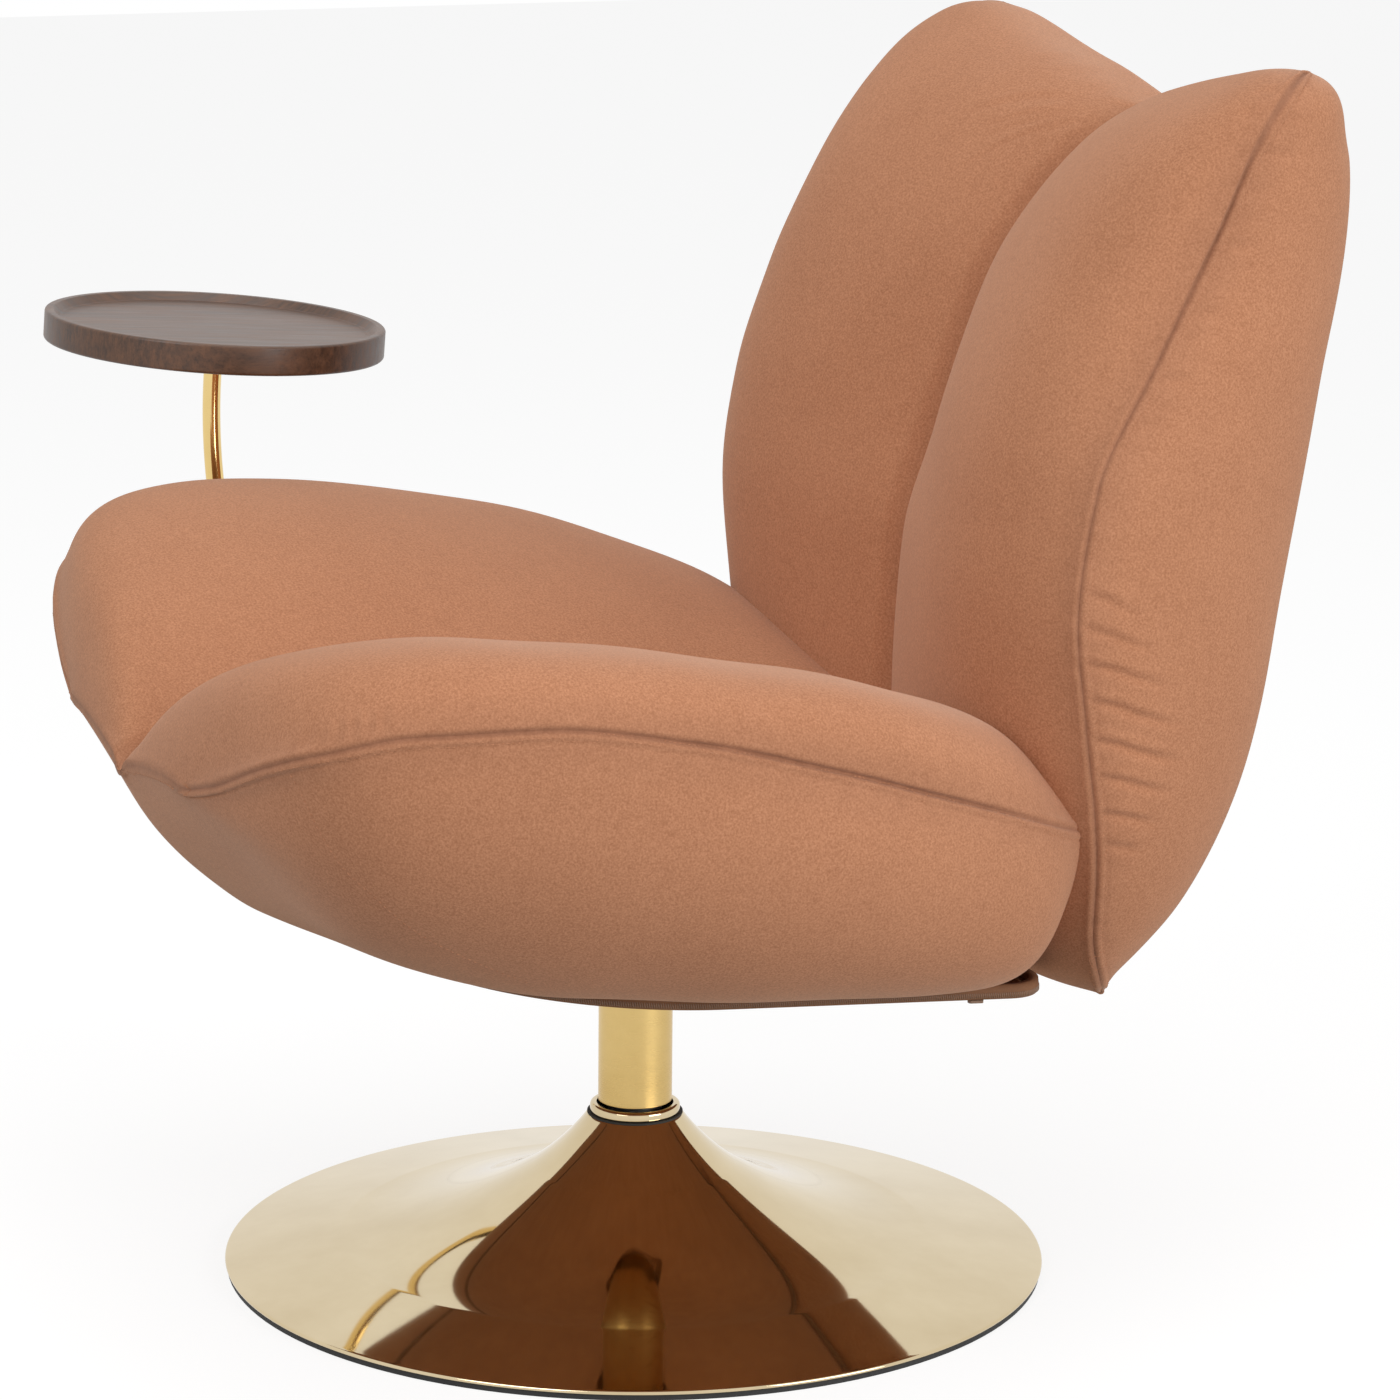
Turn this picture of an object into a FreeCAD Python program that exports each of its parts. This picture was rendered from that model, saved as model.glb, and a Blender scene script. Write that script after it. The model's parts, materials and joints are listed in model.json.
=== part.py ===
# Pedestal swivel armchair with a side tray, in millimetres.
# Z is up, the origin is the middle of the base's underside, the sitter faces -Y
# and the tray stands on the sitter's right, at -X.
import FreeCAD, Part
import math
import os

import Sketcher

V = FreeCAD.Vector
Z_AXIS = V(0, 0, 1)
X_AXIS = V(1, 0, 0)

doc = FreeCAD.newDocument("armchair")
sheet = doc.addObject("Spreadsheet::Sheet", "Sizes")

# Driving dimensions, one per cell
DIMENSIONS = {
    # Round base
    "base_radius": 300.0,
    "base_edge": 3.0,
    "base_wall": 3.0,
    "flare_skirt_radius": 215.0,
    "flare_skirt_height": 21.0,
    "flare_mid_radius": 133.0,
    "flare_mid_height": 41.5,
    "flare_knee_radius": 75.0,
    "flare_knee_height": 72.0,
    "flare_neck_radius": 53.0,
    "flare_neck_height": 91.0,
    "flare_top_radius": 35.0,
    "flare_top_height": 112.0,
    "ground_mat_radius": 298.5,
    "ground_mat_thickness": 4.0,
    "ballast_radius": 256.0,
    "ballast_thickness": 6.0,
    # Fixed post and its foot
    "post_radius": 20.0,
    "post_flange_radius": 62.0,
    "post_flange_thickness": 6.0,
    "post_bolt_radius": 4.0,
    "post_bolt_circle": 47.0,
    "post_bolt_head": 6.5,
    "post_bolt_head_height": 5.0,
    "post_bolt_grip": 5.0,
    "post_bolt_count": 6,
    "spigot_radius": 8.0,
    # Collar at the foot of the sleeve
    "gasket_thickness": 1.2,
    "collar_radius": 33.0,
    "collar_bore": 28.0,
    "collar_thickness": 7.0,
    "collar_gap": 1.5,
    # Swivel bearing
    "race_inner": 11.0,
    "race_outer": 22.0,
    "race_thickness": 3.0,
    "ball_radius": 2.4,
    "ball_gap": 0.1,
    "ball_count": 12,
    "bush_length": 20.0,
    "bush_inset": 6.0,
    "running_gap": 0.05,
    "washer_radius": 19.0,
    "washer_thickness": 2.0,
    "nut_flats": 24.0,
    "nut_thickness": 8.0,
    # Brass column sleeve
    "sleeve_radius": 27.0,
    "sleeve_bore": 24.5,
    "sleeve_cap": 6.0,
    # Seat structure
    "seat_plate_height": 269.0,
    "seat_plate_thickness": 6.0,
    "seat_plate_half_width": 110.0,
    "seat_plate_front": 120.0,
    "seat_plate_rear": 40.0,
    "seat_plate_hole": 23.0,
    "seat_plate_corner": 20.0,
    "board_thickness": 18.0,
    "board_half_width": 225.0,
    "board_front": 160.0,
    "board_rear": 150.0,
    "board_corner": 40.0,
    "wood_bolt_radius": 3.0,
    "wood_bolt_head": 6.0,
    "wood_bolt_head_height": 2.8,
    "wood_bolt_bite": 12.0,
    # Seat cushions
    "seat_front": 378.0,
    "seat_rear": 222.0,
    "seat_half_width": 374.0,
    "seat_drop": 3.0,
    "seat_tilt": 3.4,
    "seat_tilt_drop": 4.0,
    "seat_tilt_front": 208.0,
    "seat_seam_rise": 233.0,
    "seat_crest_rise": 277.0,
    "seat_channel_rise": 134.0,
    "seat_foot_half_width": 280.0,
    "seat_bulge": 55.0,
    "cover_thickness": 3.0,
    "cover_half_width": 253.0,
    "cover_front": 208.0,
    "cover_rear": 206.0,
    "cover_front_corner": 176.0,
    "cover_rear_corner": 25.0,
    "cover_depth": 9.0,
    "cover_hem": 10.0,
    "zip_width": 7.0,
    "zip_thickness": 2.6,
    "slider_length": 11.0,
    "slider_width": 5.0,
    "slider_thickness": 2.0,
    "slider_place": 150.0,
    # Back cushions
    "back_drop": 32.0,
    "back_height": 652.0,
    "back_half_width": 320.0,
    "back_reach": 442.0,
    "back_bulge": 35.0,
    "back_heel": 0.78,
    # Back structure
    "back_board_foot_y": 290.0,
    "back_board_rise": 19.0,
    "back_board_length": 460.0,
    "back_board_lean": 10.0,
    "back_board_thickness": 15.0,
    "back_board_half_width": 180.0,
    "bracket_place": 150.0,
    "bracket_width": 50.0,
    "bracket_thickness": 6.0,
    "bracket_front": 60.0,
    "bracket_upright": 190.0,
    # Tray arm
    "tube_radius": 7.0,
    "tube_wall": 1.5,
    "arm_heading": 40.15,
    "arm_roll": 2.31,
    "arm_reach": 354.3,
    "arm_drop": 33.0,
    "arm_upper_bend": 440.0,
    "arm_slope": 24.0,
    "arm_top_lean": 3.23,
    "arm_straight": 41.0,
    "arm_lower_bend": 196.0,
    "pivot_x": -192.0,
    "pivot_y": 37.5,
    "pivot_hub_radius": 15.0,
    "pivot_hub_height": 28.0,
    "pivot_pin_radius": 8.0,
    "pivot_pin_rise": 8.0,
    "clip_radius": 12.0,
    "clip_thickness": 2.0,
    "socket_flange_radius": 28.0,
    "socket_flange_thickness": 6.0,
    "socket_radius": 15.0,
    "socket_screw_circle": 21.5,
    "socket_screw_radius": 2.0,
    "socket_screw_head": 3.8,
    "socket_screw_head_height": 2.0,
    "arm_bush_wall": 2.0,
    # Tray
    "tray_radius": 132.5,
    "tray_thickness": 23.0,
    "tray_recess": 6.0,
    "tray_rim": 6.0,
    "tray_rim_slope": 6.0,
    "tray_edge": 2.0,
    "tray_foot_radius": 38.0,
    "tray_foot_thickness": 4.0,
    "tray_foot_boss": 10.5,
    "tray_foot_boss_height": 16.0,
    "tray_screw_circle": 27.0,
    "tray_screw_radius": 2.0,
    "tray_screw_length": 12.0,
    "tray_screw_head": 3.8,
    "tray_screw_head_height": 2.0,
    # Clearances
    "play": 0.2,
    "soft_gap": 0.8,
}
for row, (alias, value) in enumerate(DIMENSIONS.items(), start=1):
    sheet.set(f"A{row}", alias)
    sheet.set(f"B{row}", repr(value))
    sheet.setAlias(f"B{row}", alias)
doc.recompute()


def size(alias):
    return float(sheet.get(alias))


def expression(text):
    """Name the sheet before each alias in a formula."""
    words = text.replace("(", " ( ").replace(")", " ) ").split()
    return " ".join(f"Sizes.{word}" if word in DIMENSIONS else word for word in words)


# Levels that several parts share, as formulas of the sheet
BALLAST_TOP = "ground_mat_thickness + ballast_thickness"
FLANGE_TOP = f"{BALLAST_TOP} + post_flange_thickness"
GASKET_TOP = "flare_top_height + gasket_thickness"
COLLAR_TOP = f"{GASKET_TOP} + collar_thickness"
SLEEVE_FOOT = f"{COLLAR_TOP} + collar_gap"
CAP_FLOOR = "seat_plate_height - sleeve_cap"
UPPER_RACE_FOOT = f"{CAP_FLOOR} - race_thickness"
BALL_MIDDLE = f"{UPPER_RACE_FOOT} - ball_gap - ball_radius"
LOWER_RACE_TOP = f"{BALL_MIDDLE} - ball_radius - ball_gap"
POST_TOP = f"{LOWER_RACE_TOP} - race_thickness"
WASHER_FOOT = "seat_plate_height + ball_gap"
NUT_FOOT = f"{WASHER_FOOT} + washer_thickness"
SPIGOT_TOP = f"{NUT_FOOT} + nut_thickness + running_gap"
BOARD_FOOT = "seat_plate_height + seat_plate_thickness"
BOARD_TOP = f"{BOARD_FOOT} + board_thickness"
SEAT_BOTTOM = "seat_plate_height - seat_drop"
SEAT_FOOT = "seat_plate_height - seat_tilt_drop"
BACK_BOTTOM = "seat_plate_height - back_drop"
BACK_BOARD_LEVEL = "seat_plate_height + back_board_rise"
ARM_LEVEL = "seat_plate_height - arm_drop"


def value(text):
    """Work out a formula of the sheet's aliases in millimetres."""
    total = 0.0
    sign = 1.0
    for word in text.split():
        if word in "+-":
            sign = 1.0 if word == "+" else -1.0
        else:
            total += sign * size(word)
    return total


def new_body(label):
    body = doc.addObject("PartDesign::Body", label)
    body.Label = label
    return body


def new_sketch(body, plane_role, name):
    sketch = body.newObject("Sketcher::SketchObject", name)
    plane = next(item for item in body.Origin.OriginFeatures if item.Role == plane_role)
    sketch.AttachmentSupport = [(plane, "")]
    sketch.MapMode = "FlatFace"
    return sketch


def pin_corner(sketch, line, across, up):
    """Hold the start of a line at two formulas of the sheet."""
    for kind, text in (("DistanceX", across), ("DistanceY", up)):
        number = value(text) if text != "zero" else 0.0
        place = sketch.addConstraint(Sketcher.Constraint(kind, -1, 1, line, 1, number))
        if text != "zero":
            sketch.setExpression(f"Constraints[{place}]", expression(text))


def closed_profile(sketch, corners):
    """Draw a closed outline through corners given as pairs of formulas."""
    points = [V(*(value(text) if text != "zero" else 0.0 for text in corner), 0)
              for corner in corners]
    count = len(points)
    for index in range(count):
        sketch.addGeometry(Part.LineSegment(points[index], points[(index + 1) % count]), False)
    for index in range(count):
        sketch.addConstraint(
            Sketcher.Constraint("Coincident", index, 2, (index + 1) % count, 1))
    for index, (across, up) in enumerate(corners):
        pin_corner(sketch, index, across, up)


def turned(label, corners):
    """A body turned about the column axis from a radius and height outline."""
    body = new_body(label)
    sketch = new_sketch(body, "XZ_Plane", f"{label}_outline")
    closed_profile(sketch, corners)
    turn = body.newObject("PartDesign::Revolution", f"{label}_turn")
    turn.Profile = sketch
    turn.ReferenceAxis = (sketch, ["V_Axis"])
    turn.Angle = 360
    body.Tip = turn
    return body


def ring(label, inner, outer, foot, top):
    return turned(label, ((inner, foot), (outer, foot), (outer, top), (inner, top)))


def plate(label, half_width, front, rear, corner, foot, thickness):
    """A flat plate with rounded corners, padded upward from a level."""
    body = new_body(label)
    sketch = new_sketch(body, "XY_Plane", f"{label}_outline")
    sketch.setExpression(".AttachmentOffset.Base.z", expression(foot))
    wide, ahead, behind = value(half_width), value(front), value(rear)
    spots = (V(-wide, -ahead, 0), V(wide, -ahead, 0), V(wide, behind, 0), V(-wide, behind, 0))
    for index in range(4):
        sketch.addGeometry(Part.LineSegment(spots[index], spots[(index + 1) % 4]), False)
    for index in range(4):
        sketch.addConstraint(Sketcher.Constraint("Coincident", index, 2, (index + 1) % 4, 1))
    for line in (0, 2):
        sketch.addConstraint(Sketcher.Constraint("Horizontal", line))
    for line in (1, 3):
        sketch.addConstraint(Sketcher.Constraint("Vertical", line))
    for kind, line, text in (("DistanceX", 1, half_width), ("DistanceY", 2, rear)):
        place = sketch.addConstraint(
            Sketcher.Constraint(kind, -1, 1, line, 1, value(text)))
        sketch.setExpression(f"Constraints[{place}]", expression(text))
    for kind, line, text in (("DistanceX", 0, half_width), ("DistanceY", 0, front)):
        place = sketch.addConstraint(
            Sketcher.Constraint(kind, line, 1, -1, 1, value(text)))
        sketch.setExpression(f"Constraints[{place}]", expression(text))
    pad = body.newObject("PartDesign::Pad", f"{label}_pad")
    pad.Profile = sketch
    pad.setExpression("Length", expression(thickness))
    doc.recompute()
    uprights = [f"Edge{number}" for number, edge in enumerate(pad.Shape.Edges, start=1)
                if abs(edge.tangentAt(edge.FirstParameter).z) > 0.9]
    rounding = body.newObject("PartDesign::Fillet", f"{label}_corners")
    rounding.Base = (pad, uprights)
    rounding.setExpression("Radius", expression(corner))
    body.Tip = rounding
    return body


def drill(body, name, spots, radius, foot, depth):
    """Pocket round holes upward through a body from a level."""
    sketch = new_sketch(body, "XY_Plane", name)
    sketch.setExpression(".AttachmentOffset.Base.z", expression(foot))
    for across, along in spots:
        hole = sketch.addGeometry(Part.Circle(V(across, along, 0), Z_AXIS, value(radius)), False)
        bound = sketch.addConstraint(Sketcher.Constraint("Radius", hole, value(radius)))
        sketch.setExpression(f"Constraints[{bound}]", expression(radius))
    pocket = body.newObject("PartDesign::Pocket", f"{name}_cut")
    pocket.Profile = sketch
    pocket.setExpression("Length", expression(depth))
    pocket.Reversed = True
    body.Tip = pocket
    doc.recompute()
    return body


def shaped(label, shape, position=V(0, 0, 0), rotation=FreeCAD.Rotation()):
    """A part whose form is worked out below and then placed."""
    feature = doc.addObject("Part::Feature", label)
    feature.Label = label
    feature.Shape = shape
    feature.Placement = FreeCAD.Placement(position, rotation)
    return feature


def on_circle(count, radius, start=0.0):
    return [(radius * math.cos(start + 2 * math.pi * step / count),
             radius * math.sin(start + 2 * math.pi * step / count)) for step in range(count)]


def bolt(radius, grip, head_radius, head_height):
    """A bolt that points up: its head hangs below the level it is placed on."""
    shank = Part.makeCylinder(radius, grip)
    head = Part.makeCylinder(head_radius, head_height, V(0, 0, -head_height))
    return shank.fuse(head).removeSplitter()


def bolt_group(label, spots, level, radius, grip, head_radius, head_height, flip=False):
    """Several alike bolts in one node."""
    solids = []
    for across, along in spots:
        one = bolt(radius, grip, head_radius, head_height)
        if flip:
            one.rotate(V(0, 0, 0), X_AXIS, 180)
        one.translate(V(across, along, level))
        solids.append(one)
    return shaped(label, Part.makeCompound(solids))


# Round base: a spun shell that flares from the collar out to the rim
def flare_face(inward, drop):
    """The area between the flare's line and the column axis."""
    def spot(radius, height):
        return V(size(radius) - inward, 0, size(height) - drop)
    rim_top = V(size("base_radius") - inward, 0,
                size("ground_mat_thickness") + size("base_edge") - drop)
    knee = spot("flare_knee_radius", "flare_knee_height")
    crown = spot("flare_top_radius", "flare_top_height")
    floor = size("ground_mat_thickness") - drop
    skirt = spot("flare_skirt_radius", "flare_skirt_height")
    slope = Part.makeLine(rim_top, skirt)
    lower = Part.Arc(skirt, spot("flare_mid_radius", "flare_mid_height"), knee).toShape()
    upper = Part.Arc(knee, spot("flare_neck_radius", "flare_neck_height"), crown).toShape()
    axis_top = V(0, 0, crown.z)
    axis_foot = V(0, 0, floor)
    rim_foot = V(rim_top.x, 0, floor)
    straight = [Part.makeLine(crown, axis_top), Part.makeLine(axis_top, axis_foot),
                Part.makeLine(axis_foot, rim_foot), Part.makeLine(rim_foot, rim_top)]
    return Part.Face(Part.Wire([slope, lower, upper] + straight))


def base_trumpet():
    wall = size("base_wall")
    full = flare_face(0, 0).revolve(V(0, 0, 0), Z_AXIS, 360)
    hollow = flare_face(wall, wall).revolve(V(0, 0, 0), Z_AXIS, 360)
    neck = Part.makeCylinder(size("flare_top_radius") - wall, 2 * size("flare_top_height"))
    return shaped("base_trumpet", full.cut(hollow).cut(neck))


base_trumpet()
turned("base_ground_mat", (
    ("zero", "zero"), ("ground_mat_radius", "zero"),
    ("ground_mat_radius", "ground_mat_thickness"), ("zero", "ground_mat_thickness")))

POST_BOLT_SPOTS = on_circle(int(size("post_bolt_count")), size("post_bolt_circle"))
ballast = turned("base_ballast_plate", (
    ("zero", "ground_mat_thickness"), ("ballast_radius", "ground_mat_thickness"),
    ("ballast_radius", BALLAST_TOP), ("zero", BALLAST_TOP)))
drill(ballast, "ballast_holes", POST_BOLT_SPOTS, "post_bolt_radius + play",
      "ground_mat_thickness", "ballast_thickness")

centre_post = turned("centre_post", (
    ("zero", BALLAST_TOP), ("post_flange_radius", BALLAST_TOP),
    ("post_flange_radius", FLANGE_TOP), ("post_radius", FLANGE_TOP),
    ("post_radius", POST_TOP), ("spigot_radius", POST_TOP),
    ("spigot_radius", SPIGOT_TOP), ("zero", SPIGOT_TOP)))
drill(centre_post, "post_flange_holes", POST_BOLT_SPOTS, "post_bolt_radius + play",
      BALLAST_TOP, "post_flange_thickness")
bolt_group("post_flange_bolts", POST_BOLT_SPOTS, value(FLANGE_TOP), size("post_bolt_radius"),
           size("post_flange_thickness") + size("post_bolt_grip"), size("post_bolt_head"),
           size("post_bolt_head_height"), flip=True)

ring("collar_gasket", "collar_bore", "flare_top_radius", "flare_top_height", GASKET_TOP)
ring("base_collar", "collar_bore", "collar_radius", GASKET_TOP, COLLAR_TOP)

# Swivel bearing between the post and the sleeve
ring("thrust_lower_race", "race_inner", "race_outer", POST_TOP, LOWER_RACE_TOP)
ring("thrust_upper_race", "race_inner", "race_outer", UPPER_RACE_FOOT, CAP_FLOOR)


def thrust_balls():
    track = (size("race_inner") + size("race_outer")) / 2
    middle = value(BALL_MIDDLE)
    balls = [Part.makeSphere(size("ball_radius"), V(across, along, middle))
             for across, along in on_circle(int(size("ball_count")), track)]
    return shaped("thrust_balls", Part.makeCompound(balls))


thrust_balls()
ring("post_washer", "spigot_radius + running_gap", "washer_radius", WASHER_FOOT, NUT_FOOT)


def post_nut():
    corner = size("nut_flats") / 2 / math.cos(math.pi / 6)
    corners = [V(across, along, 0) for across, along in on_circle(6, corner)]
    block = Part.Face(Part.makePolygon(corners + corners[:1])).extrude(
        Z_AXIS * size("nut_thickness"))
    bore = Part.makeCylinder(size("spigot_radius") + size("running_gap"), size("nut_thickness"))
    return shaped("post_nut", block.cut(bore), V(0, 0, value(NUT_FOOT)))


post_nut()

# Brass sleeve that turns round the post, closed by a cap under the seat plate
turned("column_sleeve", (
    ("sleeve_bore", SLEEVE_FOOT), ("sleeve_radius", SLEEVE_FOOT),
    ("sleeve_radius", "seat_plate_height"),
    ("race_inner", "seat_plate_height"),
    ("race_inner", CAP_FLOOR), ("sleeve_bore", CAP_FLOOR)))
BUSH_FOOT = f"{SLEEVE_FOOT} + bush_inset"
BUSH_HEAD = f"{POST_TOP} - bush_inset"
ring("lower_bush", "post_radius + running_gap", "sleeve_bore - running_gap",
     BUSH_FOOT, f"{BUSH_FOOT} + bush_length")
ring("upper_bush", "post_radius + running_gap", "sleeve_bore - running_gap",
     f"{BUSH_HEAD} - bush_length", BUSH_HEAD)

# Steel plate and plywood board that carry the seat
PLATE_BOLT_SPOTS = [(side * (size("seat_plate_half_width") - size("seat_plate_corner")), along)
                    for side in (-1, 1)
                    for along in (size("seat_plate_corner") - size("seat_plate_front"),
                                  size("seat_plate_rear") - size("seat_plate_corner"))]
BRACKET_BOLT_SPOTS = [(side * size("bracket_place"), size("bracket_front") + step)
                      for side in (-1, 1)
                      for step in (size("bracket_width") / 2, 3 * size("bracket_width") / 2)]
PIVOT = (size("pivot_x"), size("pivot_y"))
SOCKET_SCREW_SPOTS = [(PIVOT[0] + across, PIVOT[1] + along)
                      for across, along in on_circle(4, size("socket_screw_circle"),
                                                     math.pi / 4)]

seat_plate = plate("seat_plate", "seat_plate_half_width", "seat_plate_front",
                   "seat_plate_rear", "seat_plate_corner", "seat_plate_height",
                   "seat_plate_thickness")
drill(seat_plate, "seat_plate_eye", [(0, 0)], "seat_plate_hole", "seat_plate_height",
      "seat_plate_thickness")
drill(seat_plate, "seat_plate_holes", PLATE_BOLT_SPOTS, "wood_bolt_radius + play",
      "seat_plate_height", "seat_plate_thickness")

seat_board = plate("seat_board", "board_half_width", "board_front", "board_rear",
                   "board_corner", BOARD_FOOT, "board_thickness")
drill(seat_board, "board_eye", [(0, 0)], "seat_plate_hole", BOARD_FOOT, "board_thickness")
drill(seat_board, "board_bolt_holes", PLATE_BOLT_SPOTS + BRACKET_BOLT_SPOTS,
      "wood_bolt_radius + play", BOARD_FOOT, "wood_bolt_bite + play")
drill(seat_board, "board_screw_holes", SOCKET_SCREW_SPOTS, "socket_screw_radius + play",
      BOARD_FOOT, "wood_bolt_bite + play")
drill(seat_board, "board_pivot_hole", [PIVOT], "clip_radius + play + play", BOARD_FOOT,
      "board_thickness")

bolt_group("seat_plate_bolts", PLATE_BOLT_SPOTS, size("seat_plate_height"),
           size("wood_bolt_radius"), size("seat_plate_thickness") + size("wood_bolt_bite"),
           size("wood_bolt_head"), size("wood_bolt_head_height"))


# Cushion forms: each curve gives a share of a driving size at a share of the way along
def curve(*spots):
    """A smooth line through hand-set spots that never overshoots them."""
    places = [spot[0] for spot in spots]
    shares = [spot[1] for spot in spots]
    slopes = [(shares[index + 1] - shares[index]) / (places[index + 1] - places[index])
              for index in range(len(spots) - 1)]

    def slope_at(index):
        if index == 0:
            return slopes[0]
        if index == len(slopes):
            return slopes[-1]
        before, after = slopes[index - 1], slopes[index]
        return 0.0 if before * after <= 0 else 2 * before * after / (before + after)

    def share(along):
        index = 0
        while index < len(slopes) - 1 and along > places[index + 1]:
            index += 1
        span = places[index + 1] - places[index]
        step = min(max((along - places[index]) / span, 0.0), 1.0)
        start, end = slope_at(index) * span, slope_at(index + 1) * span
        return ((2 * step ** 3 - 3 * step ** 2 + 1) * shares[index]
                + (step ** 3 - 2 * step ** 2 + step) * start
                + (3 * step ** 2 - 2 * step ** 3) * shares[index + 1]
                + (step ** 3 - step ** 2) * end)

    return share


def level_arc_middle(start, crest):
    """The middle of the arc from a start to a crest where the arc is level."""
    rise = crest[1] - start[1]
    run = crest[0] - start[0]
    radius = (run * run + rise * rise) / (2 * rise)
    half_turn = math.atan2(abs(rise), abs(run))
    return (crest[0] - math.copysign(abs(radius) * math.sin(half_turn), run),
            crest[1] - radius + radius * math.cos(half_turn))


def bulged_middle(start, end, bulge):
    """The middle of a chord pushed out to its left by a bulge."""
    run, rise = end[0] - start[0], end[1] - start[1]
    length = math.hypot(run, rise)
    return ((start[0] + end[0]) / 2 - rise / length * bulge,
            (start[1] + end[1]) / 2 + run / length * bulge)


def lobe_wire(corners, bulge, lift):
    """The closed outline of a lobe: channel, crest, seam and foot, as arcs and lines."""
    inner_foot, channel, crest, seam, outer_foot = corners
    spots = {
        "channel": channel, "crest": crest, "seam": seam, "outer": outer_foot,
        "inner": inner_foot, "dome": level_arc_middle(channel, crest),
        "shoulder": level_arc_middle(seam, crest),
        "side": bulged_middle(seam, outer_foot, bulge)}
    at = {name: lift(*spot) for name, spot in spots.items()}
    edges = [Part.Arc(at["channel"], at["dome"], at["crest"]).toShape(),
             Part.Arc(at["crest"], at["shoulder"], at["seam"]).toShape(),
             Part.Arc(at["seam"], at["side"], at["outer"]).toShape(),
             Part.makeLine(at["outer"], at["inner"]),
             Part.makeLine(at["inner"], at["channel"])]
    return Part.Wire(edges)


SEAT_STATIONS = (0.0, 0.02, 0.06, 0.14, 0.27, 0.42, 0.58, 0.74, 0.88, 0.95, 1.0)
SEAT_WIDTH = curve((0, 0.42), (0.01, 0.56), (0.03, 0.735), (0.063, 0.855), (0.13, 0.928),
                   (0.23, 0.977), (0.38, 1.007), (0.58, 1.003), (0.73, 0.98), (0.85, 0.933),
                   (0.93, 0.87), (1, 0.77))
SEAT_SEAM = curve((0, 0.67), (0.03, 0.845), (0.063, 0.915), (0.163, 0.982), (0.297, 0.993),
                  (0.463, 0.927), (0.63, 0.812), (0.747, 0.714), (0.863, 0.61), (1, 0.47))
SEAT_CREST = curve((0, 0.6), (0.007, 0.73), (0.022, 0.82), (0.047, 0.892), (0.08, 0.942),
                   (0.147, 0.982), (0.23, 0.993), (0.347, 0.977), (0.463, 0.942), (0.58, 0.893),
                   (0.697, 0.833), (0.813, 0.745), (0.905, 0.655), (0.955, 0.56), (1, 0.49))
SEAT_CREST_PLACE = curve((0, 0.68), (0.03, 0.76), (0.13, 0.85), (0.71, 0.9), (1, 0.75))
SEAT_CHANNEL = curve((0, 1.08), (0.13, 1.01), (0.63, 0.97), (0.88, 0.985), (1, 0.93))
SEAT_INNER_FOOT = curve((0, 0.875), (0.008, 0.72), (0.03, 0.585), (0.063, 0.405), (0.097, 0.28),
                        (0.163, 0.06), (0.23, 0.01), (0.33, 0), (0.9, 0), (0.95, 0.1), (1, 0.33))
SEAT_OUTER_FOOT = curve((0, 1), (0.03, 0.95), (0.063, 0.79), (0.13, 0.43), (0.23, 0.19),
                        (0.31, 0.07), (0.39, 0), (0.88, 0), (0.95, 0.12), (1, 0.39))
SEAT_FOOT_WIDTH = curve((0, 0.48), (0.03, 0.75), (0.063, 0.822), (0.13, 0.864), (0.23, 0.88),
                        (0.38, 0.925), (0.6, 0.982), (0.8, 0.98), (0.92, 0.95), (1, 0.8))
SEAT_SIDE = curve((0, 0.05), (0.063, 0.41), (0.163, 0.73), (0.33, 0.89), (0.63, 1.02),
                  (0.83, 0.85), (0.93, 0.65), (1, 0.25))


def seat_underside(place):
    """The level of the seat's tilted underside at a place along it."""
    ahead = max(place, -size("seat_tilt_front"))
    return value(SEAT_FOOT) - ahead * math.tan(math.radians(size("seat_tilt")))


def seat_section(along):
    """One upright cross section of the sitter's left half of the seat."""
    place = along * (size("seat_front") + size("seat_rear")) - size("seat_front")
    bottom = value(SEAT_BOTTOM)
    foot = seat_underside(place)
    reach = SEAT_WIDTH(along) * size("seat_half_width")
    corners = (
        (0, foot + SEAT_INNER_FOOT(along) * size("seat_channel_rise")),
        (0, bottom + SEAT_CHANNEL(along) * size("seat_channel_rise")),
        (reach * SEAT_CREST_PLACE(along), bottom + SEAT_CREST(along) * size("seat_crest_rise")),
        (reach, bottom + SEAT_SEAM(along) * size("seat_seam_rise")),
        (SEAT_FOOT_WIDTH(along) * size("seat_foot_half_width"),
         foot + SEAT_OUTER_FOOT(along) * size("seat_channel_rise")))
    bulge = SEAT_SIDE(along) * size("seat_bulge")
    return lobe_wire(corners, bulge, lambda across, up: V(across, place, up))


BACK_STATIONS = (0.0, 0.02, 0.05, 0.11, 0.2, 0.32, 0.46, 0.6, 0.72, 0.82, 0.89, 0.93, 0.955,
                 0.975, 0.99, 1.0)
BACK_INNER = curve((0, 0), (0.905, 0), (0.925, 0.04), (0.9376, 0.1875), (0.954, 0.375),
                   (0.973, 0.547), (0.989, 0.67), (1, 0.72))
BACK_WIDTH = curve((0, 0.69), (0.02, 0.775), (0.065, 0.845), (0.157, 0.925), (0.28, 0.977),
                   (0.446, 0.998), (0.583, 0.985), (0.705, 0.95), (0.826, 0.905), (0.918, 0.908),
                   (0.963, 0.89), (0.986, 0.84), (1, 0.8))
BACK_SEAM = curve((0, 0.612), (0.02, 0.578), (0.096, 0.525), (0.187, 0.505), (0.34, 0.464),
                  (0.446, 0.443), (0.583, 0.475), (0.705, 0.577), (0.826, 0.69), (0.918, 0.76),
                  (0.963, 0.81), (1, 0.87))
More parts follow.
